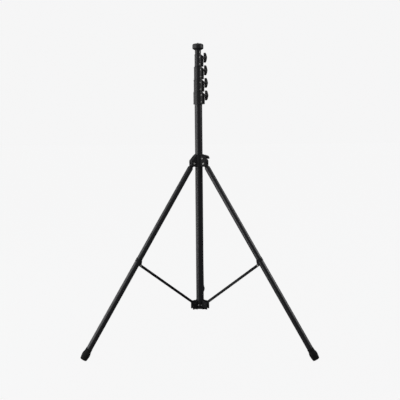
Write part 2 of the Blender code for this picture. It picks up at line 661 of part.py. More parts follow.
def base_hub_mesh():
    """The hub clamped round the column's foot, with three pairs of cheeks.

    Each cheek is slotted from its pivot down, because the braces swing as a plain hinge
    here and their lower ends dip below the pivot while the legs fold.
    """
    bore = tube_radius(0) + CLEARANCE
    outer = bore + HUB_WALL
    tab_radius = tube_radius(0) + HUB_TAB_OUT
    tab_top = HUB_BOTTOM + HUB_TAB_HEIGHT
    body = lathe([(bore, HUB_BOTTOM), (tab_radius, HUB_BOTTOM), (tab_radius, tab_top),
                  (outer, tab_top), (outer, HUB_TOP), (bore, HUB_TOP)])
    steps = []
    beyond = HUB_PIVOT_RADIUS + CHEEK_REACH + PAST
    recess = outer + HUB_RECESS
    floor = HUB_BOTTOM - PAST
    slot_half = BRACE_HALF_WIDTH + CLEARANCE
    bolt_half = slot_half + CHEEK_WALL + 2 * CLEARANCE + BOLT_HEAD_LENGTH + CHEEK_WALL / 5
    pivot = (HUB_PIVOT_RADIUS, HUB_PIVOT_HEIGHT)
    half = PIVOT_RADIUS + CHEEK_SLOT_PLAY
    lean = CHEEK_SLOT_SLOPE * (HUB_PIVOT_HEIGHT - floor)
    slot_outline = arc(pivot, half, 0, 180, 10) + [
        (HUB_PIVOT_RADIUS - half - lean, floor), (HUB_PIVOT_RADIUS + half - lean / 2, floor)]
    for azimuth in LEG_AZIMUTHS:
        steps.append(("UNION", placed(hub_cheek_tool(), turned_z(azimuth))))
    for azimuth in LEG_AZIMUTHS:
        gap = box_prism(recess, beyond, floor, HUB_TOP + PAST, slot_half)
        notch = box_prism(recess, beyond, floor, tab_top + HUB_RECESS, bolt_half)
        slot = prism(slot_outline, bolt_half)
        steps += [("DIFFERENCE", placed(tool, turned_z(azimuth))) for tool in (gap, notch, slot)]
    return combined(body, steps)


def make_base(stand, finish):
    add("base_hub", base_hub_mesh(), finish["casting"], stand)
    rim = tube_radius(0) - CLEARANCE
    spigot = tube_radius(0) - TUBE_WALL - CLEARANCE
    seat = COLUMN_BOTTOM - CLEARANCE
    add("column_cap", lathe([
        (0, seat - CAP_FLANGE), (rim, seat - CAP_FLANGE), (rim, seat), (spigot, seat),
        (spigot, seat + CAP_SPIGOT), (0, seat + CAP_SPIGOT)]), finish["plastic"], stand)


def centre_on_origin(stand):
    """Shifts the column's axis along Y until the stand's box is centred over the origin."""
    bpy.context.view_layer.update()
    depths = [(piece.matrix_world @ vertex.co).y for piece in bpy.data.objects
              if piece.type == "MESH" for vertex in piece.data.vertices]
    stand.location.y = -(min(depths) + max(depths)) / 2


def main():
    clear_scene()
    finish = {
        "tube": material("black_tube", (0.012, 0.012, 0.014), 0.38, 0.3),
        "casting": material("black_casting", (0.010, 0.010, 0.011), 0.45, 0.2),
        "knob": material("black_knob", (0.014, 0.014, 0.015), 0.55, 0.0),
        "rubber": material("black_rubber", (0.016, 0.016, 0.016), 0.80, 0.0),
        "plastic": material("grey_plastic", (0.030, 0.030, 0.032), 0.60, 0.0),
        "steel": material("zinc_steel", (0.62, 0.62, 0.60), 0.30, 1.0),
    }
    stand = axis_empty("column_axis", None, (0, 0, 0))
    last_riser = make_mast(stand, finish)
    make_head(last_riser, finish)
    make_leg_collar(stand, finish)
    make_base(stand, finish)
    centre_on_origin(stand)


main()
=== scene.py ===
"""Looks of a heavy-duty lighting stand: a clamped telescopic mast on a folding tripod base.

Metres, +Z up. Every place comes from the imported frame, so each piece lies where its solid lies.
"""
import json
import math

import bmesh
import bpy
from mathutils import Matrix, Vector


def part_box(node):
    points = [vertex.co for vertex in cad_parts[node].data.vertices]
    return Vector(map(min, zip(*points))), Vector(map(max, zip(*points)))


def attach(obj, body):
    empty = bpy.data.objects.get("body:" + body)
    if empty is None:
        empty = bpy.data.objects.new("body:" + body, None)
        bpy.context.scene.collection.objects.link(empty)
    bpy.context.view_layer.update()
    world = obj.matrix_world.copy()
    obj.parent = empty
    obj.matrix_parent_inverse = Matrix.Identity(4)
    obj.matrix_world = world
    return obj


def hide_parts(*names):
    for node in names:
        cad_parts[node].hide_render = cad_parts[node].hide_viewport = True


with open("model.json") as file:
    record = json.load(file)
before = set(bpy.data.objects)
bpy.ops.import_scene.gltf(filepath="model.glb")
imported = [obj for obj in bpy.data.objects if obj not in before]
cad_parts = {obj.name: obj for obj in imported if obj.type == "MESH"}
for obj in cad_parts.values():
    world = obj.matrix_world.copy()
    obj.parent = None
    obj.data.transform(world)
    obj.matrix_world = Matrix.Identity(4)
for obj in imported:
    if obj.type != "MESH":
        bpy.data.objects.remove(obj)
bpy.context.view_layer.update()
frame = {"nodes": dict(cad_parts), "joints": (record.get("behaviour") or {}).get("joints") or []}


# ---- Column and risers ----------------------------------------------------------------------
# Five drawn steel tubes that slide in each other. They are cut square, deburred at both ends
# and powder coated satin black before the bushes and collars go on.

MAST_SECTIONS = 5
TUBE_WALL = 0.002
TUBE_DEBURR = 0.0004
FULL_TURN = 96
SMOOTH_ANGLE = math.radians(38)
WELD = 1e-6
NOISE_SPREAD = (0.3, 0.7)
SATIN_BLACK = ((0.0088, 0.0090, 0.0108), (0.0125, 0.0128, 0.0150))
SATIN_ROUGHNESS = (60, 4, 0.34, 0.41)
SATIN_PEEL = (650, 1, 0.00015, 0.06)
SATIN_TOP_COAT = 0.12
SATIN_TOP_ROUGHNESS = 0.22
RUBBED_PAINT = (0.040, 0.041, 0.045)
RUB_CELLS = 420
RUB_STRENGTH = 0.22


def middle(node):
    low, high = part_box(node)
    return (low + high) / 2


def half_span(node):
    low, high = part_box(node)
    return (high.x - low.x) / 2


def turned(profile, steps=FULL_TURN):
    """An outline of (radius, height) points spun about +Z; on the axis it stays open."""
    shape = bmesh.new()
    points = [shape.verts.new((radius, 0, height)) for radius, height in profile]
    on_axis = profile[0][0] == profile[-1][0] == 0
    ends = points[1:] if on_axis else points[1:] + points[:1]
    edges = [shape.edges.new(pair) for pair in zip(points, ends)]
    bmesh.ops.spin(shape, geom=points + edges, axis=(0, 0, 1), cent=(0, 0, 0),
                   angle=math.tau, steps=steps, use_merge=True)
    bmesh.ops.remove_doubles(shape, verts=shape.verts, dist=WELD)
    loose = [edge for edge in shape.edges if not edge.link_faces]
    bmesh.ops.delete(shape, geom=loose, context="EDGES")
    bmesh.ops.recalc_face_normals(shape, faces=shape.faces)
    return shape


def pipe(outer, inner, start, end, edge):
    """A tube along +Z with both of its ends chamfered."""
    return turned([(inner + edge, start), (outer - edge, start), (outer, start + edge),
                   (outer, end - edge), (outer - edge, end), (inner + edge, end),
                   (inner, end - edge), (inner, start + edge)])


def put(shape, *matrices):
    for matrix in matrices:
        bmesh.ops.transform(shape, matrix=matrix, verts=shape.verts)
    return shape


def at(place):
    return Matrix.Translation(place)


def new_node(tree, kind, **settings):
    node = tree.nodes.new(kind)
    for name, value in settings.items():
        setattr(node, name, value)
    return node


def noise(tree, scale, detail=2.0, stretch=None):
    """A noise pattern fixed to the piece, in cells per metre, perhaps stretched along one axis."""
    place = new_node(tree, "ShaderNodeTexCoord").outputs["Object"]
    if stretch:
        mapping = new_node(tree, "ShaderNodeMapping")
        mapping.inputs["Scale"].default_value = stretch
        tree.links.new(place, mapping.inputs["Vector"])
        place = mapping.outputs["Vector"]
    texture = new_node(tree, "ShaderNodeTexNoise")
    texture.inputs["Scale"].default_value = scale
    texture.inputs["Detail"].default_value = detail
    tree.links.new(place, texture.inputs["Vector"])
    return texture.outputs["Fac"]


def stepped(tree, value, low, high, to_low=0.0, to_high=1.0):
    """A value in low..high spread over to_low..to_high, and held at the ends."""
    spread = new_node(tree, "ShaderNodeMapRange")
    for name, number in (("From Min", low), ("From Max", high),
                         ("To Min", to_low), ("To Max", to_high)):
        spread.inputs[name].default_value = number
    tree.links.new(value, spread.inputs["Value"])
    return spread.outputs["Result"]


def blended(tree, factor, first, second):
    """A colour between two others, each a triple or the output of a node."""
    mix = new_node(tree, "ShaderNodeMix", data_type="RGBA")
    tree.links.new(factor, mix.inputs["Factor"])
    for socket, colour in ((mix.inputs[6], first), (mix.inputs[7], second)):
        if isinstance(colour, tuple):
            socket.default_value = (*colour, 1)
        else:
            tree.links.new(colour, socket)
    return mix.outputs[2]


def product(tree, first, second):
    times = new_node(tree, "ShaderNodeMath", operation="MULTIPLY")
    tree.links.new(first, times.inputs[0])
    tree.links.new(second, times.inputs[1])
    return times.outputs[0]


def new_finish(name, metallic=0.0, specular=0.5):
    """A material with its node tree and its shader, which the caller links up."""
    made = bpy.data.materials.new(name)
    made.use_nodes = True
    shader = made.node_tree.nodes["Principled BSDF"]
    shader.inputs["Metallic"].default_value = metallic
    shader.inputs["Specular IOR Level"].default_value = specular
    return made, made.node_tree, shader


def surfaced(tree, shader, colour, roughness, grain):
    """Gives a shader its colour, its roughness and its grain, as bumps of a depth and strength.

    Roughness is (cells per metre, detail, smoothest, roughest) and grain is (cells per metre,
    detail, depth, strength).
    """
    tree.links.new(colour, shader.inputs["Base Color"])
    cells, detail, smooth, rough = roughness
    patches = stepped(tree, noise(tree, cells, detail), *NOISE_SPREAD, smooth, rough)
    tree.links.new(patches, shader.inputs["Roughness"])
    cells, detail, depth, strength = grain
    bump = new_node(tree, "ShaderNodeBump")
    bump.inputs["Strength"].default_value = strength
    bump.inputs["Distance"].default_value = depth
    tree.links.new(noise(tree, cells, detail), bump.inputs["Height"])
    tree.links.new(bump.outputs["Normal"], shader.inputs["Normal"])


def plain_finish(name, tones, cells, roughness, grain, metallic=0.0, specular=0.5):
    """A finish that only drifts between two tones."""
    made, tree, shader = new_finish(name, metallic, specular)
    surfaced(tree, shader, blended(tree, noise(tree, cells, 3), *tones), roughness, grain)
    return made


def satin_powder_coat(name, along):
    """Smooth black powder coat with faint orange peel, and rub marks that run along the tube."""
    made, tree, shader = new_finish(name, specular=0.45)
    shader.inputs["Coat Weight"].default_value = SATIN_TOP_COAT
    shader.inputs["Coat Roughness"].default_value = SATIN_TOP_ROUGHNESS
    body = blended(tree, noise(tree, 9), *SATIN_BLACK)
    marks = stepped(tree, noise(tree, RUB_CELLS, 4, along), 0.66, 0.76)
    patches = stepped(tree, noise(tree, 14, 2), 0.50, 0.68)
    worn = stepped(tree, product(tree, marks, patches), 0, 1, 0, RUB_STRENGTH)
    surfaced(tree, shader, blended(tree, worn, body, RUBBED_PAINT), SATIN_ROUGHNESS, SATIN_PEEL)
    return made


def make_piece(name, shape, body, slot, finish, *stands_for):
    """The object of a finished shape, riding on its body in place of the CAD nodes named."""
    mesh = bpy.data.meshes.new(name)
    shape.to_mesh(mesh)
    shape.free()
    mesh.materials.append(finish)
    mesh.shade_smooth()
    mesh.set_sharp_from_angle(angle=SMOOTH_ANGLE)
    piece = bpy.data.objects.new(name, mesh)
    bpy.context.scene.collection.objects.link(piece)
    even = piece.modifiers.new("even_normals", "WEIGHTED_NORMAL")
    even.keep_sharp = True
    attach(piece, body)
    if stands_for:
        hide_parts(*stands_for)
    return piece


mast_centre = middle("column_tube")
mast_axis = Vector((mast_centre.x, mast_centre.y, 0))


def on_mast(height):
    return at(mast_axis + Vector((0, 0, height)))


def carrier_of(level):
    return "column" if level == 0 else f"riser_{level}"


mast_paint = satin_powder_coat("satin_black_mast", (1, 1, 0.04))
tube_radii = []
for level in range(MAST_SECTIONS):
    body = carrier_of(level)
    node = f"{body}_tube"
    low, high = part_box(node)
    tube_radii.append(half_span(node))
    tube = pipe(tube_radii[-1], tube_radii[-1] - TUBE_WALL, low.z, high.z, TUBE_DEBURR)
    make_piece(f"mast_section_{level}", put(tube, at(mast_axis)), body, "tube", mast_paint, node)


# ---- Bushes, shoes and column cap -----------------------------------------------------------
# Slide bushes at the foot of each riser, the pads that the knobs press, the liner of the leg
# collar and the plug in the column's foot, all moulded in dark grey nylon and pressed in.

NYLON_GREYS = ((0.024, 0.024, 0.026), (0.034, 0.034, 0.036))
NYLON_ROUGHNESS = (150, 3, 0.46, 0.60)
NYLON_GRAIN = (1500, 2, 0.0001, 0.25)

nylon = plain_finish("grey_nylon", NYLON_GREYS, 35, NYLON_ROUGHNESS, NYLON_GRAIN, specular=0.4)
nylon_nodes = ["leg_collar_bush", "leg_collar_shoe", "column_cap"]
for number in range(1, MAST_SECTIONS):
    nylon_nodes += [f"riser_{number}_bush", f"lock_shoe_{number}"]
for node in nylon_nodes:
    solid = frame["nodes"][node]
    solid.data.materials.clear()
    solid.data.materials.append(nylon)


# ---- Lock collars ---------------------------------------------------------------------------
# One cast clamp collar on the top end of the column and of each riser but the last. It has a
# bead at both ends and a knob lug on one side, and wears a fine textured black coat.

COLLAR_LIP = 0.0075
COLLAR_BEAD = 0.0070
COLLAR_WAIST = 0.0007
COLLAR_EDGE = 0.0012
LUG_HALF_WIDTH = 0.015
LUG_ROUND = 0.0024
LUG_SHOULDER_DROP = 0.0125
LUG_FOOT_RISE = 0.0015
LUG_RECESS = 0.0018
LUG_RECESS_RIM = 0.0045
CAST_BLACK = ((0.0070, 0.0070, 0.0082), (0.0105, 0.0105, 0.0120))
CAST_RUBBED = (0.050, 0.050, 0.052)
CAST_GRAIN = (1100, 3, 0.00018, 0.22)
EDGE_POINTINESS = (0.535, 0.60)


def outlined(points, half_width):
    """A closed outline of (x, z) points grown to a width along Y, half of it each way."""
    shape = bmesh.new()
    face = shape.faces.new([shape.verts.new((x, -half_width, z)) for x, z in points])
    grown = bmesh.ops.extrude_face_region(shape, geom=[face])["geom"]
    far_side = [item for item in grown if isinstance(item, bmesh.types.BMVert)]
    bmesh.ops.translate(shape, verts=far_side, vec=(0, 2 * half_width, 0))
    bmesh.ops.recalc_face_normals(shape, faces=shape.faces)
    return shape


def softened(shape, width, segments=3):
    """The shape with every edge of it that turns by more than the smooth angle rounded over."""
    sharp = [edge for edge in shape.edges
             if len(edge.link_faces) == 2 and edge.calc_face_angle() > SMOOTH_ANGLE]
    bmesh.ops.bevel(shape, geom=sharp, offset=width, offset_type="OFFSET", affect="EDGES",
                    segments=segments, profile=0.5, material=-1, clamp_overlap=True)
    return shape


def fused(base, steps):
    """The shape after each (operation, shape) Boolean in turn."""
    helpers = []
    for part in [base] + [tool for _, tool in steps]:
        mesh = bpy.data.meshes.new("helper")
        part.to_mesh(mesh)
        part.free()
        helpers.append(bpy.data.objects.new("helper", mesh))
        bpy.context.scene.collection.objects.link(helpers[-1])
    for (operation, _), helper in zip(steps, helpers[1:]):
        modifier = helpers[0].modifiers.new(operation, "BOOLEAN")
        modifier.operation = operation
        modifier.solver = "EXACT"
        modifier.object = helper
    graph = bpy.context.evaluated_depsgraph_get()
    made = bpy.data.meshes.new_from_object(helpers[0].evaluated_get(graph))
    shape = bmesh.new()
    shape.from_mesh(made)
    for helper in helpers:
        bpy.data.objects.remove(helper)
    bpy.data.meshes.remove(made)
    bmesh.ops.remove_doubles(shape, verts=shape.verts, dist=WELD)
    bmesh.ops.dissolve_degenerate(shape, edges=shape.edges, dist=WELD)
    return shape


def cast_black_coat(name, specular, smooth, rough):
    """Textured black coat on a casting, rubbed a little lighter on its outer edges."""
    made, tree, shader = new_finish(name, specular=specular)
    body = blended(tree, noise(tree, 22, 3), *CAST_BLACK)
    sharpness = new_node(tree, "ShaderNodeNewGeometry").outputs["Pointiness"]
    edges = stepped(tree, sharpness, *EDGE_POINTINESS)
    chips = stepped(tree, noise(tree, 260, 4), 0.48, 0.66)
    colour = blended(tree, product(tree, edges, chips), body, CAST_RUBBED)
    surfaced(tree, shader, colour, (90, 3, smooth, rough), CAST_GRAIN)
    return made


def block(near, far, low, high, half_width):
    """A block from near to far along X and from low to high along Z."""
    return outlined([(near, low), (far, low), (far, high), (near, high)], half_width)


def collar_sleeve(outer, bore, neck, height):
    waist = outer - COLLAR_WAIST
    seat = height - COLLAR_LIP
    edge = COLLAR_EDGE
    return turned([
        (bore, edge / 2), (bore + edge / 2, 0), (outer - edge, 0), (outer - edge / 4, edge / 4),
        (outer, edge), (outer, COLLAR_BEAD), (waist, COLLAR_BEAD + COLLAR_WAIST),
        (waist, height - COLLAR_BEAD - COLLAR_WAIST), (outer, height - COLLAR_BEAD),
        (outer, height - 2 * edge), (outer - edge / 2, height - edge / 2),
        (outer - 2 * edge, height), (neck + edge / 2, height), (neck, height - edge / 2),
        (neck, seat), (bore, seat)])


def collar_lug(outer, reach, height):
    """The block on the +X side that the knob's screw goes through, with a recess each side."""
    inside = outer - COLLAR_LIP / 2
    shoulder = height - LUG_SHOULDER_DROP
    top = height - 2 * LUG_ROUND
    lug = outlined([(inside, LUG_FOOT_RISE), (reach, LUG_FOOT_RISE), (reach, shoulder),
                    (outer, top), (inside, top)], LUG_HALF_WIDTH)
    softened(lug, LUG_ROUND)
    rim = LUG_RECESS_RIM
    steps = []
    for side in (-1, 1):
        recess = softened(block(outer + rim / 2, reach - rim, LUG_FOOT_RISE + 2 * rim,
                                shoulder - 4 * rim, LUG_RECESS), LUG_RECESS / 3, 2)
        put(recess, at((0, side * LUG_HALF_WIDTH, 0)))
        steps.append(("DIFFERENCE", recess))
    return fused(lug, steps)


casting_coat = cast_black_coat("fine_cast_coat", 0.42, 0.38, 0.50)
collar_bottoms = []
lug_faces = []
for level in range(MAST_SECTIONS - 1):
    node = f"lock_collar_{level + 1}"
    low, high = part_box(node)
    collar_bottoms.append(low.z)
    outer = mast_axis.x - low.x
    reach = high.x - mast_axis.x
    lug_faces.append(reach)
    height = high.z - low.z
    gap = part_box(f"lock_shoe_{level + 1}")[0].x - mast_axis.x - tube_radii[level + 1]
    sleeve = collar_sleeve(outer, tube_radii[level] + gap, tube_radii[level + 1] + gap, height)
    collar = fused(sleeve, [("UNION", collar_lug(outer, reach, height))])
    make_piece(f"clamp_collar_{level + 1}", put(collar, on_mast(low.z)),
               carrier_of(level), "collar", casting_coat, node)


# ---- Collar screws --------------------------------------------------------------------------
# Two zinc plated screws hold each collar on its tube. They sit one above the other, to the
# front and a little right, with their washers proud of the coat.

SCREW_AZIMUTHS = [math.radians(turn) for turn in (307, 301, 307, 300)]
SCREW_HEIGHTS = (0.016, 0.065)
SCREW_HEAD_RADIUS = 0.0042
SCREW_HEAD_HEIGHT = 0.0026
SCREW_WASHER_RADIUS = 0.0052
SCREW_WASHER_HEIGHT = 0.0008
SOCKET_RADIUS = 0.0021
SOCKET_DEPTH = 0.0014
SCREW_ROOT = 0.003
DOME_ANGLES = (0, 25, 50, 75)
DOME_RISE = 0.45
SMALL_TURN = 32
ZINC_TONES = ((0.26, 0.26, 0.255), (0.38, 0.38, 0.37))
ZINC_ROUGHNESS = (500, 3, 0.46, 0.60)
ZINC_GRAIN = (2200, 2, 0.00005, 0.2)
ALONG_X = Matrix.Rotation(math.pi / 2, 4, "Y")


def hex_bar(radius, start, end):
    """A six-sided bar along +Z."""
    shape = bmesh.new()
    bmesh.ops.create_cone(shape, cap_ends=True, segments=6, radius1=radius, radius2=radius,
                          depth=end - start)
    return put(shape, at((0, 0, (start + end) / 2)))


def socket_screw(radius=SCREW_HEAD_RADIUS, height=SCREW_HEAD_HEIGHT):
    """A domed screw head with a hexagon socket and a washer, standing on z = 0."""
    washer = SCREW_WASHER_HEIGHT
    bevel = washer / 4
    dome = [(radius * math.cos(turn), height - radius * DOME_RISE * (1 - math.sin(turn)))
            for turn in map(math.radians, DOME_ANGLES)]
    ring = radius * SCREW_WASHER_RADIUS / SCREW_HEAD_RADIUS
    head = turned([(0, -SCREW_ROOT), (radius / 2, -SCREW_ROOT), (radius / 2, 0),
                   (ring - bevel, 0), (ring, bevel), (ring, washer - bevel),
                   (ring - bevel, washer), (radius, washer)] + dome + [(0, height)], SMALL_TURN)
    socket = hex_bar(SOCKET_RADIUS * radius / SCREW_HEAD_RADIUS, height - SOCKET_DEPTH, 2 * height)
    return fused(head, [("DIFFERENCE", socket)])


def facing(azimuth, radius, height):
    """From +Z at the origin to straight out from the mast at an azimuth, radius and height."""
    return on_mast(height) @ Matrix.Rotation(azimuth, 4, "Z") @ at((radius, 0, 0)) @ ALONG_X


zinc = plain_finish("zinc_plate", ZINC_TONES, 180, ZINC_ROUGHNESS, ZINC_GRAIN, metallic=0.45)
for level in range(MAST_SECTIONS - 1):
    seat = mast_axis.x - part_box(f"lock_collar_{level + 1}")[0].x - COLLAR_WAIST
    for row, rise in zip(("lower", "upper"), SCREW_HEIGHTS):
        screw = socket_screw()
        put(screw, facing(SCREW_AZIMUTHS[level], seat, collar_bottoms[level] + rise))
        make_piece(f"collar_{level + 1}_{row}_screw", screw, carrier_of(level), "bolt", zinc)


# ---- Wing knobs -----------------------------------------------------------------------------
# Moulded black wing knobs, one on each collar's lug and one on the leg collar. Each is
# moulded on the head of a steel screw whose bright end shows in a dimple on its crown.

KNOB_STANDOFF = 0.0005
KNOB_BASE_RADIUS = 0.0110
KNOB_BASE_LENGTH = 0.0120
KNOB_CROWN_RADIUS = 0.0086
KNOB_EDGE = 0.0010
WING_TIP = 0.0355
WING_ROOT = 0.0085
WING_ROOT_RISE = 0.0009
WING_TIP_NEAR = 0.0013
WING_TIP_FAR = 0.0165
WING_SIDE = 0.0062
WING_TAPER = 0.26
WING_ROUND = 0.0021
WING_BELOW_CROWN = 0.0009
WING_STEPS = 6
WING_CUTS = (-0.85, -0.62, -0.4, -0.22, 0.22, 0.4, 0.62, 0.85)
RIB_PLACES = (0.0185, 0.0235, 0.0285)
RIB_SIZE = (0.0040, 0.0010)
KNOB_SCREW_RADIUS = 0.0039
KNOB_SCREW_PITCH = 0.00125
MEDIUM_TURN = 64
PLASTIC_BLACK = ((0.0080, 0.0080, 0.0088), (0.0120, 0.0120, 0.0130))
PLASTIC_ROUGHNESS = (120, 3, 0.38, 0.50)
PLASTIC_GRAIN = (1800, 2, 0.00010, 0.20)


def wing_outline(crown):
    """The fan of both wings in (x, z), whose outer edge is a shallow curve up to the crown."""
    sweep = [step / WING_STEPS for step in range(-WING_STEPS, WING_STEPS + 1)]
    top = crown - WING_BELOW_CROWN
    outer = [(WING_TIP_FAR + (top - WING_TIP_FAR) * (1 - turn * turn), turn * WING_TIP)
             for turn in sweep]
    return [(WING_ROOT_RISE, WING_ROOT), (WING_ROOT_RISE, -WING_ROOT),
            (WING_TIP_NEAR, -WING_TIP)] + outer + [(WING_TIP_NEAR, WING_TIP)]


def wings(crown):
    shape = outlined(wing_outline(crown), WING_SIDE)
    for cut in WING_CUTS:
        bmesh.ops.bisect_plane(shape, geom=shape.verts[:] + shape.edges[:] + shape.faces[:],
                               plane_co=(0, 0, cut * WING_TIP), plane_no=(0, 0, 1))
    for vertex in shape.verts:
        vertex.co.y *= 1 - WING_TAPER * (vertex.co.z / WING_TIP) ** 2
    return softened(shape, WING_ROUND)


def add_grip_ribs(shape, crown):
    """Three low ribs across each face of each wing, as closed shells sunk in it."""
    depth, half = RIB_SIZE
    ribs = bmesh.new()
    for place in RIB_PLACES:
        side = WING_SIDE * (1 - WING_TAPER * (place / WING_TIP) ** 2)
        for up in (-1, 1):
            for face in (-1, 1):
                spot = at(((WING_TIP_NEAR + crown) / 2 - depth / 4, face * side, up * place))
                size = Matrix.Diagonal((2 * depth, half / 2, half, 1))
                bmesh.ops.create_cube(ribs, size=1, matrix=spot @ size)
    softened(ribs, half / 5, 2)
    helper = bpy.data.meshes.new("helper")
    ribs.to_mesh(helper)
    ribs.free()
    shape.from_mesh(helper)
    bpy.data.meshes.remove(helper)
    return shape


def wing_knob(crown):
    base = KNOB_STANDOFF + KNOB_BASE_LENGTH
    edge = KNOB_EDGE
    dimple = KNOB_SCREW_RADIUS + edge / 2
    hub = put(turned([
        (0, KNOB_STANDOFF), (KNOB_BASE_RADIUS - edge, KNOB_STANDOFF),
        (KNOB_BASE_RADIUS, KNOB_STANDOFF + edge), (KNOB_BASE_RADIUS, base - edge),
        (KNOB_BASE_RADIUS - edge, base), (KNOB_CROWN_RADIUS + edge, base),
        (KNOB_CROWN_RADIUS, base + edge), (KNOB_CROWN_RADIUS - edge / 2, crown - 2 * edge),
        (KNOB_CROWN_RADIUS - 3 * edge / 2, crown - edge / 2),
        (KNOB_CROWN_RADIUS - 5 * edge / 2, crown), (dimple, crown),
        (dimple - edge / 2, crown - 2 * edge), (0, crown - 2 * edge)], MEDIUM_TURN), ALONG_X)
    return add_grip_ribs(fused(hub, [("UNION", wings(crown))]), crown)


def knob_screw(start, crown):
    """The knob's screw along +X: a threaded shank, and its bright end in the dimple."""
    turns = int((KNOB_STANDOFF - start) / KNOB_SCREW_PITCH)
    root = KNOB_SCREW_RADIUS - KNOB_SCREW_PITCH / 2
    thread = []
    for turn in range(turns):
        foot = start + turn * KNOB_SCREW_PITCH
        thread += [(root, foot), (KNOB_SCREW_RADIUS, foot + KNOB_SCREW_PITCH / 2)]
    end = crown - KNOB_EDGE
    profile = ([(0, start)] + thread + [(KNOB_SCREW_RADIUS, KNOB_STANDOFF),
               (KNOB_SCREW_RADIUS, end - KNOB_EDGE / 2),
               (KNOB_SCREW_RADIUS - KNOB_EDGE / 2, end), (0, end)])
    return put(turned(profile, SMALL_TURN), ALONG_X)


joint_named = {joint["name"]: joint for joint in frame["joints"]}
knob_plastic = plain_finish("moulded_black", PLASTIC_BLACK, 40, PLASTIC_ROUGHNESS,
                            PLASTIC_GRAIN, specular=0.42)
KNOB_REST_TURNS = (0.10, -0.14, 0.16, -0.08)
knob_low, knob_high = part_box("lock_knob_1")
knob_crown = knob_high.x - mast_axis.x - lug_faces[0]
knob_start = knob_low.x - mast_axis.x - lug_faces[0]


def make_knob(label, node, face, start, rest_turn):
    """A wing knob and its screw on its joint's axis, standing face metres out from the mast."""
    joint = joint_named[f"{node}_turn"]
    azimuth = math.atan2(joint["axis"][1], joint["axis"][0])
    place = (at(joint["pos_m"]) @ Matrix.Rotation(azimuth, 4, "Z") @ at((face, 0, 0))
             @ Matrix.Rotation(rest_turn, 4, "X"))
    make_piece(f"{label}_moulding", put(wing_knob(knob_crown), place), node, "knob",
               knob_plastic, node)
    make_piece(f"{label}_screw", put(knob_screw(start, knob_crown), place), node, "bolt", zinc)


for level, rest_turn in enumerate(KNOB_REST_TURNS):
    number = level + 1
    make_knob(f"wing_knob_{number}", f"lock_knob_{number}", lug_faces[level], knob_start,
              rest_turn)


# ---- Head -----------------------------------------------------------------------------------
# The cast head is pressed on the last riser. A short neck flares under a wide drum with a flat
# top, where a lamp bracket sits; a set screw in the neck holds it, and it has the cast coat.

HEAD_EDGE = 0.0100
HEAD_FLARE_RISE = 0.0060
HEAD_UNDER_EDGE = 0.0050
HEAD_CONE_FOOT = 0.0245
HEAD_DRUM_RISE = 0.0415
HEAD_NECK_WALL = 0.0040
HEAD_BORE_DEPTH = 0.0343
HEAD_STUD_SEAT = 0.0120
HEAD_RIM_GROOVE = (0.0050, 0.0008)
HEAD_STUD_RECESS = (0.0105, 0.0012)
CURVE_STEPS = 8


def arc(centre, radius, start, end, steps=CURVE_STEPS):
    """Points of an arc round a (radius, height) centre, from one angle to another in degrees."""
    turns = [math.radians(start + (end - start) * step / steps) for step in range(steps + 1)]
    return [(centre[0] + radius * math.cos(turn), centre[1] + radius * math.sin(turn))
            for turn in turns]


def head_casting(radius, bore, hole, height):
    neck = bore + HEAD_NECK_WALL
    edge, step = HEAD_EDGE, TUBE_DEBURR
    flare_rise, under = HEAD_FLARE_RISE, HEAD_UNDER_EDGE
    groove_width, groove_depth = HEAD_RIM_GROOVE
    recess, sunk = HEAD_STUD_RECESS
    groove_far = radius - edge - 2 * step
    groove_near = groove_far - groove_width
    flare = arc((neck + flare_rise, HEAD_CONE_FOOT), flare_rise, 180, 135)
    return turned(
        [(bore, step), (bore + step, 0), (neck - step, 0), (neck, step)] + flare
        + arc((radius - under, HEAD_DRUM_RISE), under, -45, 0)
        + arc((radius - edge, height - edge), edge, 0, 90)
        + [(groove_far, height), (groove_far - step, height - groove_depth),
           (groove_near + step, height - groove_depth), (groove_near, height),
           (recess, height), (recess - step, height - sunk), (hole, height - sunk),
           (hole, height - HEAD_STUD_SEAT), (0, height - HEAD_STUD_SEAT),
           (0, HEAD_BORE_DEPTH), (bore, HEAD_BORE_DEPTH)])


head_low, head_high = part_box("head_platform")
stud_low, stud_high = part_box("head_stud")
stud_radius = half_span("head_stud")
head_shape = head_casting(half_span("head_platform"), tube_radii[-1] + TUBE_DEBURR,
                          stud_radius + TUBE_DEBURR, head_high.z - head_low.z)
put(head_shape, on_mast(head_low.z))
make_piece("head_casting", head_shape, "riser_4", "collar", casting_coat, "head_platform")
set_screw_at = middle("head_screw")
set_screw_arm = set_screw_at - mast_axis
set_screw_azimuth = math.atan2(set_screw_arm.y, set_screw_arm.x)
set_screw = socket_screw()
put(set_screw, facing(set_screw_azimuth, tube_radii[-1] + TUBE_DEBURR + HEAD_NECK_WALL,
                      set_screw_at.z))
make_piece("neck_set_screw", set_screw, "riser_4", "bolt", zinc, "head_screw")


# ---- Stud -----------------------------------------------------------------------------------
# A zinc plated 3/8 inch stud screwed into the head. Only its threaded end shows, and a lamp
# bracket's nut goes on it.

STUD_PITCH = 0.0254 / 16
STUD_THREAD_DEPTH = 0.0009
STUD_CHAMFER = 0.0008
STUD_THREAD_FORM = ((0, 0), (0.15, 0), (0.45, 1), (0.60, 1), (0.90, 0))


def threaded_rod(radius, start, end, pitch):
    """A rod along +Z with a ridge for each turn of its thread, chamfered at its upper end."""
    root = radius - STUD_THREAD_DEPTH
    top = end - STUD_CHAMFER
    profile = [(0, start)]
    for turn in range(int((top - start) / pitch)):
        foot = start + turn * pitch
        profile += [(root + crest * STUD_THREAD_DEPTH, foot + share * pitch)
                    for share, crest in STUD_THREAD_FORM]
    profile += [(root, top), (radius - STUD_CHAMFER, end), (0, end)]
    return turned(profile, MEDIUM_TURN)


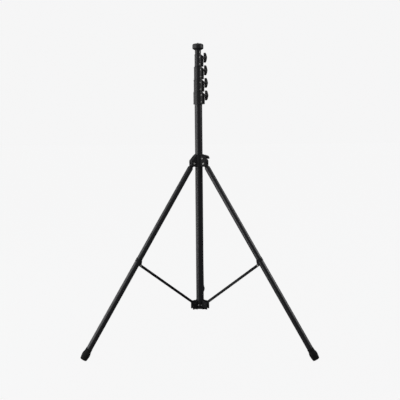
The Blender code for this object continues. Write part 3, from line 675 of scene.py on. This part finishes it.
stud = threaded_rod(stud_radius, 0, stud_high.z - stud_low.z, STUD_PITCH)
put(stud, on_mast(stud_low.z))
make_piece("head_threaded_stud", stud, "riser_4", "bolt", zinc, "head_stud")


# ---- Leg collar -----------------------------------------------------------------------------
# The sliding collar that carries the legs: one casting with three slotted ears that slope up
# to the column, and a boss for its wing knob. It runs on a nylon liner and has the cast coat.

LINER_WALL = 0.0028
SLIDER_WALL = 0.0045
SLIDER_ABOVE = 0.066
SLIDER_BELOW = 0.024
SLIDER_EDGE = 0.0015
EAR_REACH = 0.019
EAR_SHOULDER = 0.022
EAR_INSET = 0.002
EAR_CHAMFER = 0.004
EAR_ROUND = 0.0026
EAR_SLOT = (0.0093, 0.0365, 0.0145)
BOLT_END = 0.0053
BOSS_RADIUS = 0.013
BOSS_REACH = 0.026
BOSS_ROUND = 0.0014
LEG_KNOB_AZIMUTH = math.radians(30)
LEG_KNOB_REST_TURN = math.radians(106)
LEG_KNOB_SCREW = -0.0173
EAR_SCREW_OUT = 0.0395
EAR_SCREW_RISE = 0.036
CUT_PAST = 0.01


def hinge_of(limb):
    return Vector(joint_named[f"{limb}_hinge"]["pos_m"])


slider_height = hinge_of("leg_1").z
hinge_radius = (hinge_of("leg_1") - mast_axis - Vector((0, 0, slider_height))).length
ear_half_width = half_span("leg_3_pivot_bolt") - BOLT_END
leg_arms = [hinge_of(f"leg_{number}") - mast_axis for number in (1, 2, 3)]
leg_azimuths = [math.atan2(arm.y, arm.x) for arm in leg_arms]


def turned_to(azimuth):
    return Matrix.Rotation(azimuth, 4, "Z")


def leg_slider():
    bore = tube_radii[0] + LINER_WALL + TUBE_DEBURR
    wall = bore + SLIDER_WALL
    edge = SLIDER_EDGE
    low, high = -SLIDER_BELOW, SLIDER_ABOVE
    reach = hinge_radius + EAR_REACH
    body = turned([(0, low), (wall - edge, low), (wall, low + edge), (wall, high - 3 * edge),
                   (wall + edge / 2, high - 2 * edge), (wall + edge / 2, high - edge / 2),
                   (wall - edge / 2, high), (0, high)])
    steps = []
    ear_outline = [(wall / 4, low + EAR_INSET), (reach - EAR_CHAMFER, low + EAR_INSET),
                   (reach, low + EAR_INSET + EAR_CHAMFER), (reach, EAR_SHOULDER),
                   (wall - edge, high - EAR_INSET - 2 * edge),
                   (wall / 4, high - EAR_INSET - 2 * edge)]
    for azimuth in leg_azimuths:
        ear = softened(outlined(ear_outline, ear_half_width), EAR_ROUND, 4)
        steps.append(("UNION", put(ear, turned_to(azimuth))))
    boss = softened(turned([(0, wall - SLIDER_WALL / 2), (BOSS_RADIUS, wall - SLIDER_WALL / 2),
                            (BOSS_RADIUS, tube_radii[0] + BOSS_REACH),
                            (0, tube_radii[0] + BOSS_REACH)], MEDIUM_TURN), BOSS_ROUND)
    knob_height = joint_named["leg_collar_knob_turn"]["pos_m"][2] - slider_height
    steps.append(("UNION", put(boss, ALONG_X, at((0, 0, knob_height)),
                               turned_to(LEG_KNOB_AZIMUTH))))
    bore_tool = turned([(0, low - CUT_PAST), (bore, low - CUT_PAST), (bore, high + CUT_PAST),
                        (0, high + CUT_PAST)])
    steps.append(("DIFFERENCE", bore_tool))
    slot_half, slot_in, slot_top = EAR_SLOT
    for azimuth in leg_azimuths:
        slot = softened(block(slot_in, reach + CUT_PAST, low - CUT_PAST, slot_top, slot_half),
                        SLIDER_EDGE, 2)
        steps.append(("DIFFERENCE", put(slot, turned_to(azimuth))))
    return fused(body, steps)


matte_coat = cast_black_coat("matte_cast_coat", 0.22, 0.60, 0.72)
slider_place = on_mast(slider_height)
make_piece("leg_slider_casting", put(leg_slider(), slider_place), "leg_collar", "collar",
           matte_coat, "leg_collar")
make_knob("leg_collar_wing", "leg_collar_knob", tube_radii[0] + BOSS_REACH, LEG_KNOB_SCREW,
          LEG_KNOB_REST_TURN)
for number, azimuth in enumerate(leg_azimuths, 1):
    ear_screw = socket_screw()
    put(ear_screw, Matrix.Rotation(math.pi / 2, 4, "X"),
        at((EAR_SCREW_OUT, -ear_half_width, EAR_SCREW_RISE)), turned_to(azimuth), slider_place)
    make_piece(f"ear_{number}_screw", ear_screw, "leg_collar", "bolt", zinc)


# ---- Hinge bolts ----------------------------------------------------------------------------
# Hexagon bolts through each leg's tongue and both ends of each brace, with a washer at both ends
# and a locking nut. They are zinc plated steel, but blackened at the hub.

BOLT_SHANK_RADIUS = 0.0039
BOLT_WASHER_RADIUS = 0.0069
BOLT_HEX_RADIUS = 0.0064
BOLT_WASHER = 0.0010
BOLT_GAP = 0.0002
BOLT_CROWN = 0.0004
NUT_COLLAR_RADIUS = 0.0047
ALONG_Y = Matrix.Rotation(-math.pi / 2, 4, "X")


def rounded_disc(radius, start, end, edge, steps=SMALL_TURN):
    return turned([(0, start), (radius - edge, start), (radius, start + edge),
                   (radius, end - edge), (radius - edge, end), (0, end)], steps)


def hinge_bolt(half_length):
    """A bolt along Y, head at the -Y end and nut at the other, half_length from end to middle."""
    seat = half_length - BOLT_END + BOLT_GAP
    hex_start = seat + BOLT_WASHER
    shank = put(rounded_disc(BOLT_SHANK_RADIUS, -half_length + BOLT_CROWN,
                             half_length - BOLT_CROWN, BOLT_CROWN), ALONG_Y)
    steps = []
    for side in (-1, 1):
        turn = Matrix.Rotation(-side * math.pi / 2, 4, "X")
        washer = rounded_disc(BOLT_WASHER_RADIUS, seat, hex_start, BOLT_WASHER / 4)
        steps.append(("UNION", put(washer, turn)))
        thick = half_length - 2 * BOLT_CROWN if side > 0 else half_length
        hexagon = softened(hex_bar(BOLT_HEX_RADIUS, hex_start - BOLT_WASHER / 4, thick),
                           BOLT_CROWN, 2)
        steps.append(("UNION", put(hexagon, turn)))
    collar = rounded_disc(NUT_COLLAR_RADIUS, seat, half_length, BOLT_CROWN)
    steps.append(("UNION", put(collar, Matrix.Rotation(-math.pi / 2, 4, "X"))))
    return fused(shank, steps)


black_bolt = cast_black_coat("blackened_bolt", 0.30, 0.45, 0.58)
for piece, node, body, plating in (
        ("leg_{}_hinge_pin", "leg_{}_pivot_bolt", "leg_collar", zinc),
        ("brace_{}_upper_pin", "brace_{}_upper_bolt", "leg_{}", zinc),
        ("brace_{}_lower_pin", "brace_{}_lower_bolt", "brace_{}", black_bolt)):
    half_length = half_span(node.format(3))
    for number, azimuth in enumerate(leg_azimuths, 1):
        replaced = node.format(number)
        pin = put(hinge_bolt(half_length), turned_to(azimuth), at(middle(replaced)))
        make_piece(piece.format(number), pin, body.format(number), "bolt", plating, replaced)


# ---- Legs -----------------------------------------------------------------------------------
# Three straight steel tubes in the satin coat. A cast tongue is riveted into each one's top,
# with a rim that closes the tube, and swings between the ears of the leg collar.

TONGUE_RADIUS = 0.0125
TONGUE_HALF_WIDTH = 0.009
TONGUE_ROUND = 0.0012
PLUG_LENGTH = 0.050
RIM_HEIGHT = 0.0043
RIVET_RADIUS = 0.0032
RIVET_HEIGHT = 0.0010
RIVET_DOWN = 0.022
leg_paint = satin_powder_coat("satin_black_legs", (1, 1, 0.06))


def hung(top, foot, number):
    """From a frame with -Z towards the foot and +X on a limb's outer side to the limb's top."""
    up = (top - foot).normalized()
    azimuth = leg_azimuths[number - 1]
    outward = Vector((math.cos(azimuth), math.sin(azimuth), 0))
    out = (outward - up * outward.dot(up)).normalized()
    return at(top) @ Matrix((out, up.cross(out), up)).transposed().to_4x4()


def leg_frame(number):
    return hung(hinge_of(f"leg_{number}"), middle(f"leg_{number}_tube"), number)


def tube_run(number):
    """Where a leg's tube starts and ends along its frame's Z, and its radius."""
    into = leg_frame(number).inverted()
    ends = [into @ vertex.co for vertex in frame["nodes"][f"leg_{number}_tube"].data.vertices]
    heights = [end.z for end in ends]
    return max(heights), min(heights), max(math.hypot(end.x, end.y) for end in ends)


def leg_tongue(rim_foot, radius):
    rim_top = rim_foot + RIM_HEIGHT
    plug_foot = rim_foot - PLUG_LENGTH
    root = rim_foot + RIM_HEIGHT / 2
    edge = TONGUE_ROUND
    inside = radius - TUBE_WALL
    body = turned([(0, plug_foot), (inside - edge, plug_foot), (inside - edge / 4, rim_foot),
                   (radius, rim_foot), (radius, rim_top - edge), (radius - edge, rim_top),
                   (0, rim_top)])
    outline = ([(TONGUE_RADIUS, root)] + arc((0, 0), TONGUE_RADIUS, 0, 180, 2 * CURVE_STEPS)
               + [(-TONGUE_RADIUS, root)])
    tongue = softened(outlined(outline, TONGUE_HALF_WIDTH), TONGUE_ROUND, 2)
    return fused(body, [("UNION", tongue)])


def rivet_heads(radius, height):
    """The two heads of the rivet across the leg's top, on its front and back."""
    heads = bmesh.new()
    for side in (-1, 1):
        spot = at((0, side * radius, height)) @ Matrix.Rotation(-side * math.pi / 2, 4, "X")
        size = Matrix.Diagonal((RIVET_RADIUS, RIVET_RADIUS, RIVET_HEIGHT, 1))
        bmesh.ops.create_uvsphere(heads, u_segments=24, v_segments=12, radius=1,
                                  matrix=spot @ size)
    return heads


for number in (1, 2, 3):
    name = f"leg_{number}"
    place = leg_frame(number)
    start, end, radius = tube_run(number)
    leg_pipe = pipe(radius, radius - TUBE_WALL, end, start, TUBE_DEBURR)
    make_piece(f"{name}_pipe", put(leg_pipe, place), name, "tube", leg_paint, f"{name}_tube")
    make_piece(f"{name}_tongue", put(leg_tongue(start + BOLT_CROWN / 2, radius), place), name,
               "collar", matte_coat, f"{name}_top_fitting")
    make_piece(f"{name}_rivet", put(rivet_heads(radius, start - RIVET_DOWN), place), name,
               "tube", leg_paint)


# ---- Feet -----------------------------------------------------------------------------------
# Moulded rubber boots pushed on the legs' ends. Each swells towards its end and has three
# rings moulded round its mouth, and its end is cut off flat where it stands on the floor.

BOOT_LENGTH = 0.074
BOOT_SOLID = 0.035
BOOT_MOUTH_WALL = 0.0016
BOOT_BULGE_WALL = 0.0069
BOOT_BULGE_RISE = 0.036
BOOT_END_WALL = 0.0025
BOOT_EDGE = 0.0022
BOOT_RINGS = 3
BOOT_RING_DEPTH = 0.0006
BOOT_RING_PITCH = 0.0030
BOOT_SWELL_TOP = 3.4 * BOOT_RING_PITCH
BOOT_DUST_HEIGHT = 0.022
BOOT_DUST_STRENGTH = 0.3
RUBBER_BLACKS = ((0.0060, 0.0060, 0.0062), (0.0095, 0.0095, 0.0096))
RUBBER_ROUGHNESS = (110, 3, 0.62, 0.80)
RUBBER_GRAIN = (900, 3, 0.00015, 0.25)
RUBBER_DUST = (0.060, 0.058, 0.054)


def boot_rubber():
    """Dull black rubber that has picked up a little dust where it meets the floor."""
    made, tree, shader = new_finish("boot_rubber", specular=0.14)
    body = blended(tree, noise(tree, 30, 3), *RUBBER_BLACKS)
    place = new_node(tree, "ShaderNodeTexCoord").outputs["Object"]
    split = new_node(tree, "ShaderNodeSeparateXYZ")
    tree.links.new(place, split.inputs["Vector"])
    near_floor = stepped(tree, split.outputs["Z"], 0, BOOT_DUST_HEIGHT, BOOT_DUST_STRENGTH, 0)
    speckle = stepped(tree, noise(tree, 300, 4), 0.42, 0.72)
    colour = blended(tree, product(tree, near_floor, speckle), body, RUBBER_DUST)
    surfaced(tree, shader, colour, RUBBER_ROUGHNESS, RUBBER_GRAIN)
    return made


def boot(end, solid_end, radius, place):
    """The boot in the leg's frame; the floor's plane there cuts its low edge."""
    mouth = end + BOOT_LENGTH
    edge = BOOT_EDGE
    mouth_radius = radius + BOOT_MOUTH_WALL
    bulge = radius + BOOT_BULGE_WALL
    rings = []
    for ring in range(BOOT_RINGS):
        foot = mouth - edge - (BOOT_RINGS - ring) * BOOT_RING_PITCH
        dip = mouth_radius - BOOT_RING_DEPTH
        rings += [(mouth_radius, foot), (dip, foot + BOOT_RING_DEPTH),
                  (dip, foot + 2 * BOOT_RING_DEPTH), (mouth_radius, foot + 3 * BOOT_RING_DEPTH)]
    bulge_at = end + BOOT_BULGE_RISE
    swell_length = mouth - edge - BOOT_SWELL_TOP - bulge_at
    swell = []
    for step in range(CURVE_STEPS + 1):
        way = step / CURVE_STEPS
        ease = (1 - math.cos(math.pi * way)) / 2
        swell.append((bulge + (mouth_radius - bulge) * ease, bulge_at + swell_length * way))
    end_radius = radius + BOOT_END_WALL
    barrel = []
    for step in range(1, CURVE_STEPS):
        way = step / CURVE_STEPS
        rise = math.sin(way * math.pi / 2)
        barrel.append((end_radius + (bulge - end_radius) * rise,
                       end + edge + (bulge_at - end - edge) * way))
    shape = turned([(0, end), (end_radius - edge, end), (end_radius - edge / 4, end + edge / 4),
                    (end_radius, end + edge)] + barrel + swell + rings
                   + [(mouth_radius, mouth - edge / 2), (mouth_radius - edge / 2, mouth),
                      (radius + TUBE_DEBURR / 4, mouth), (radius + TUBE_DEBURR / 4, solid_end),
                      (0, solid_end)], MEDIUM_TURN)
    into = place.inverted()
    floor_normal = into.to_3x3() @ Vector((0, 0, 1))
    floor_point = into @ Vector((0, 0, 0))
    cut = bmesh.ops.bisect_plane(
        shape, geom=shape.verts[:] + shape.edges[:] + shape.faces[:], plane_co=floor_point,
        plane_no=floor_normal, clear_inner=True)
    rim = [item for item in cut["geom_cut"] if isinstance(item, bmesh.types.BMEdge)]
    bmesh.ops.edgeloop_fill(shape, edges=rim)
    bmesh.ops.recalc_face_normals(shape, faces=shape.faces)
    return shape


rubber = boot_rubber()
for number in (1, 2, 3):
    place = leg_frame(number)
    end, radius = tube_run(number)[1:]
    shape = boot(end - BOOT_SOLID, end - TUBE_DEBURR, radius, place)
    make_piece(f"leg_{number}_rubber_boot", put(shape, place), f"leg_{number}", "foot", rubber,
               f"leg_{number}_foot")


# ---- Brace clamps ---------------------------------------------------------------------------
# A cast band round each leg with a lug on its inner side, which the brace's channel straddles.
# It is held by one screw through the band and has the cast coat.

BAND_WALL = 0.0018
BAND_NEAR = 0.013
BAND_FAR = 0.036
BAND_EDGE = 0.0006
CLAMP_LUG_RADIUS = 0.0072
CLAMP_LUG_HALF_WIDTH = 0.009
CLAMP_LUG_ROUND = 0.0010
CLAMP_LUG_EDGE = 0.004
CLAMP_SCREW_RADIUS = 0.0036


def brace_clamp(radius, offset):
    """The clamp in a leg's frame moved to the brace's pivot height; the lug is at -offset."""
    outer = radius + BAND_WALL
    edge = BAND_EDGE
    middle_low, middle_high = BAND_NEAR + 6 * edge, BAND_FAR - 6 * edge
    band = turned([(radius, BAND_NEAR), (outer - edge, BAND_NEAR), (outer, BAND_NEAR + edge),
                   (outer, middle_low - edge / 2), (outer - edge / 2, middle_low),
                   (outer - edge / 2, middle_high), (outer, middle_high + edge / 2),
                   (outer, BAND_FAR - edge), (outer - edge, BAND_FAR), (radius, BAND_FAR)])
    within = BAND_WALL - radius
    shoulder = BAND_FAR - CLAMP_LUG_EDGE
    nose = arc((-offset, 0), CLAMP_LUG_RADIUS, -90, -200)
    lug = softened(outlined([(within, -CLAMP_LUG_RADIUS)] + nose
                            + [(-outer - edge, shoulder), (within, shoulder)],
                            CLAMP_LUG_HALF_WIDTH), CLAMP_LUG_ROUND, 2)
    tunnel = turned([(0, -BAND_FAR), (radius, -BAND_FAR), (radius, 2 * BAND_FAR),
                     (0, 2 * BAND_FAR)])
    return fused(band, [("UNION", lug), ("DIFFERENCE", tunnel)])


for number in (1, 2, 3):
    name = f"leg_{number}"
    place = leg_frame(number)
    radius = tube_run(number)[-1]
    pivot = place.inverted() @ hinge_of(f"brace_{number}")
    spot = place @ at((0, 0, pivot.z))
    clamp = put(brace_clamp(radius + TUBE_DEBURR / 4, -pivot.x), spot)
    make_piece(f"{name}_brace_clamp", clamp, name, "collar", matte_coat,
               f"{name}_brace_bracket")
    screw = socket_screw(CLAMP_SCREW_RADIUS)
    put(screw, ALONG_X, at((radius + BAND_WALL - BAND_EDGE / 2, 0, (BAND_NEAR + BAND_FAR) / 2)),
        spot)
    make_piece(f"{name}_clamp_screw", screw, name, "bolt", zinc)


# ---- Braces ---------------------------------------------------------------------------------
# Steel channels folded from strip, open on their outer side. The web is cut back at both ends
# so that the two flanges straddle the lugs, and their ends are round.

CHANNEL_HALF_WIDTH = 0.012
CHANNEL_WALL = 0.0025
CHANNEL_WEB = 0.010
CHANNEL_OPEN = 0.008
CHANNEL_SETBACK = 0.016
CHANNEL_FOLD = 0.0024
CHANNEL_BURR = 0.0004


def brace_frame(number):
    """A brace's frame at its upper pivot, and how far below the lower pivot lies."""
    upper = hinge_of(f"brace_{number}")
    lower = middle(f"brace_{number}_lower_bolt")
    return hung(upper, lower, number), (upper - lower).length


def folded_channel(length):
    depth = (CHANNEL_OPEN + CHANNEL_WEB) / 2
    centre = (CHANNEL_OPEN - CHANNEL_WEB) / 2
    top = arc((centre, 0), depth, 0, 180, 2 * CURVE_STEPS)
    foot = arc((centre, -length), depth, 180, 360, 2 * CURVE_STEPS)
    body = outlined(top + foot, CHANNEL_HALF_WIDTH)
    folds = [edge for edge in body.edges
             if all(vertex.co.x < -CHANNEL_WEB + CHANNEL_BURR for vertex in edge.verts)
             and edge.calc_length() > length / 2]
    bmesh.ops.bevel(body, geom=folds, offset=CHANNEL_FOLD, offset_type="OFFSET", affect="EDGES",
                    segments=4, profile=0.5, material=-1)
    inside = CHANNEL_HALF_WIDTH - CHANNEL_WALL
    web = CHANNEL_WALL - CHANNEL_WEB
    past = CUT_PAST + depth
    trough = block(web, CHANNEL_OPEN + CUT_PAST, -length - past, past, inside)
    steps = [("DIFFERENCE", trough)]
    for low, high in ((-length - past, CHANNEL_SETBACK - length), (-CHANNEL_SETBACK, past)):
        gap = block(-CHANNEL_WEB - CUT_PAST, web + CHANNEL_BURR, low, high, inside)
        steps.append(("DIFFERENCE", gap))
    return softened(fused(body, steps), CHANNEL_BURR, 2)


strip_coat = cast_black_coat("dull_strip_coat", 0.12, 0.70, 0.82)
for number in (1, 2, 3):
    place, length = brace_frame(number)
    make_piece(f"brace_{number}_channel", put(folded_channel(length), place),
               f"brace_{number}", "tube", strip_coat, f"brace_{number}")


# ---- Base hub -------------------------------------------------------------------------------
# The casting clamped on the column's foot, with a pair of bored cheeks for each brace's end,
# in the cast coat. Two bright screws side by side between the cheeks hold it on the column.

HUB_WALL = 0.0045
HUB_TAB_OUT = 0.0205
HUB_TAB_HEIGHT = 0.012
HUB_EDGE = 0.0012
HUB_RECESS = 0.0008
CHEEK_GAP = 0.0123
CHEEK_WALL = 0.005
CHEEK_REACH = 0.015
CHEEK_ABOVE = 0.016
CHEEK_TOP_ROUND = 0.008
CHEEK_ROUND = 0.0012
HUB_ARCH_RADIUS = 0.0316
HUB_ARCH_RISE = 0.008
HUB_SCREW_SPREAD = 0.0115
HUB_SCREW_RISE = 0.028


def foot_hub(pivot_radius, pivot_height, bottom, top):
    bore = tube_radii[0] + TUBE_DEBURR
    outer = tube_radii[0] + HUB_WALL
    tab_radius = tube_radii[0] + HUB_TAB_OUT
    tab_top = bottom + HUB_TAB_HEIGHT
    edge = HUB_EDGE
    body = turned([(bore, bottom), (tab_radius - edge, bottom), (tab_radius, bottom + edge),
                   (tab_radius, tab_top - edge), (tab_radius - edge, tab_top),
                   (outer + 2 * edge, tab_top), (outer, tab_top + 2 * edge), (outer, top - edge),
                   (outer - edge, top), (bore, top)])
    reach = pivot_radius + CHEEK_REACH
    low, high = bottom + edge, pivot_height + CHEEK_ABOVE
    inside = tube_radii[0] + HUB_WALL / 2
    corner = arc((reach - CHEEK_TOP_ROUND, high - CHEEK_TOP_ROUND), CHEEK_TOP_ROUND, 0, 90)
    cheek_outline = [(inside, low), (reach, low)] + corner + [(inside, high)]
    steps = []
    for azimuth in leg_azimuths:
        cheeks = softened(outlined(cheek_outline, CHEEK_GAP + CHEEK_WALL), CHEEK_ROUND)
        steps.append(("UNION", put(cheeks, turned_to(azimuth))))
    beyond = reach + CUT_PAST
    recess = outer + HUB_RECESS
    floor = bottom - CUT_PAST
    for azimuth in leg_azimuths:
        hole = put(rounded_disc(BOLT_SHANK_RADIUS + BOLT_GAP, -reach, reach, edge), ALONG_Y,
                   at((pivot_radius, 0, pivot_height)))
        for tool in (block(recess, beyond, floor, top + CUT_PAST, CHEEK_GAP), hole):
            steps.append(("DIFFERENCE", put(tool, turned_to(azimuth))))
        arch = turned([(0, recess), (HUB_ARCH_RADIUS, recess), (HUB_ARCH_RADIUS, beyond),
                       (0, beyond)])
        put(arch, ALONG_X, at((0, 0, bottom + HUB_ARCH_RISE - HUB_ARCH_RADIUS)),
            turned_to(azimuth + math.pi / 3))
        steps.append(("DIFFERENCE", arch))
    return fused(body, steps)


hub_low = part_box("base_hub")[0]
brace_foot = middle("brace_1_lower_bolt")
foot_pivot_radius = math.hypot(brace_foot.x - mast_axis.x, brace_foot.y - mast_axis.y)
hub = foot_hub(foot_pivot_radius, brace_foot.z, hub_low.z,
               brace_foot.z + CHEEK_ABOVE + CHEEK_ROUND)
make_piece("foot_hub_casting", put(hub, at(mast_axis)), "column", "collar", matte_coat,
           "base_hub")
front = leg_azimuths[0] + math.pi / 3
for label, spread in (("left", -HUB_SCREW_SPREAD), ("right", HUB_SCREW_SPREAD)):
    for sector in range(3):
        azimuth = front + sector * math.tau / 3 + spread / (tube_radii[0] + HUB_WALL)
        screw = socket_screw()
        put(screw, facing(azimuth, tube_radii[0] + HUB_WALL, hub_low.z + HUB_SCREW_RISE))
        make_piece(f"hub_{label}_screw_{sector + 1}", screw, "column", "bolt", zinc)


# ---- Floor, light and camera ----------------------------------------------------------------
# A plain pale floor and sky, two tall soft lights on the left, a high one far to the right, a
# weak one behind and one overhead. The camera stands in front, above the middle of the mast.

FLOOR_HALF = 40.0
PALE = (0.920, 0.920, 0.922)
SKY_FILL = 0.10
FLOOR_GLOW = 1.0
FLOOR_BOUNCE = 0.30
FLOOR_GREY = (0.004, 0.004, 0.004)
CAMERA_AZIMUTH = math.radians(1.10)
CAMERA_DISTANCE = 3.452
CAMERA_HEIGHT = 1.509
CAMERA_YAW = math.radians(-0.144)
CAMERA_PITCH = math.radians(2.88)
CAMERA_ROLL = math.radians(-0.494)
CAMERA_SENSOR = 36
CAMERA_LENS = 42.82
CAMERA_SHIFT = -0.12
LIGHTS = {
    "tall_softbox": ((-3.1, -2.2, 1.5), (1.7, 5.0), 90, (0, 0, 1.5)),
    "side_softbox": ((-3.7, 0.7, 1.5), (2.6, 5.0), 75, (0, 0, 1.5)),
    "upper_softbox": ((7.8, -1.0, 4.7), (6.0, 3.8), 290, (0.3, 0, 0.6)),
    "rim_softbox": ((2.2, 2.6, 1.8), (0.6, 2.2), 2, (0, 0, 1.2)),
    "overhead_softbox": ((-0.4, -0.8, 4.6), (3.0, 3.0), 60, (0, 0, 0)),
}


def seen_only(tree, seen, unseen):
    """A strength that is one number for what the camera looks at and another for all else."""
    path = new_node(tree, "ShaderNodeLightPath")
    return stepped(tree, path.outputs["Is Camera Ray"], 0, 1, unseen, seen)


floor_shape = bmesh.new()
bmesh.ops.create_grid(floor_shape, x_segments=1, y_segments=1, size=FLOOR_HALF)
floor_mesh = bpy.data.meshes.new("pale_floor")
floor_shape.to_mesh(floor_mesh)
floor_shape.free()
floor = bpy.data.objects.new("pale_floor", floor_mesh)
bpy.context.scene.collection.objects.link(floor)
floor.visible_glossy = False
floor.visible_shadow = False
floor_paint, floor_tree, floor_shader = new_finish("pale_floor_paint", specular=0.1)
floor_shader.inputs["Base Color"].default_value = (*FLOOR_GREY, 1)
floor_shader.inputs["Roughness"].default_value = 0.9
floor_shader.inputs["Emission Color"].default_value = (*PALE, 1)
floor_tree.links.new(seen_only(floor_tree, FLOOR_GLOW, FLOOR_BOUNCE),
                     floor_shader.inputs["Emission Strength"])
floor_mesh.materials.append(floor_paint)

sky = bpy.data.worlds.new("pale_sky")
sky.use_nodes = True
sky_light = sky.node_tree.nodes["Background"]
sky_light.inputs["Color"].default_value = (*PALE, 1)
sky.node_tree.links.new(seen_only(sky.node_tree, 1.0, SKY_FILL), sky_light.inputs["Strength"])
bpy.context.scene.world = sky

for name, (place, size, power, target) in LIGHTS.items():
    lamp = bpy.data.lights.new(name, "AREA")
    lamp.shape = "RECTANGLE"
    lamp.size, lamp.size_y = size
    lamp.energy = power
    holder = bpy.data.objects.new(name, lamp)
    holder.location = place
    holder.rotation_euler = (Vector(target) - Vector(place)).to_track_quat("-Z", "Y").to_euler()
    bpy.context.scene.collection.objects.link(holder)

camera = bpy.data.objects.new("camera", bpy.data.cameras.new("camera"))
bpy.context.scene.collection.objects.link(camera)
camera.data.sensor_width = CAMERA_SENSOR
camera.data.lens = CAMERA_LENS
camera.data.shift_y = CAMERA_SHIFT
eye = mast_axis + Vector((CAMERA_DISTANCE * math.sin(CAMERA_AZIMUTH),
                          -CAMERA_DISTANCE * math.cos(CAMERA_AZIMUTH), CAMERA_HEIGHT))
camera.matrix_world = (at(eye) @ Matrix.Rotation(CAMERA_AZIMUTH + CAMERA_YAW, 4, "Z")
                       @ Matrix.Rotation(math.pi / 2 - CAMERA_PITCH, 4, "X")
                       @ Matrix.Rotation(CAMERA_ROLL, 4, "Z"))
bpy.context.scene.camera = camera
bpy.context.scene.view_settings.view_transform = "Standard"
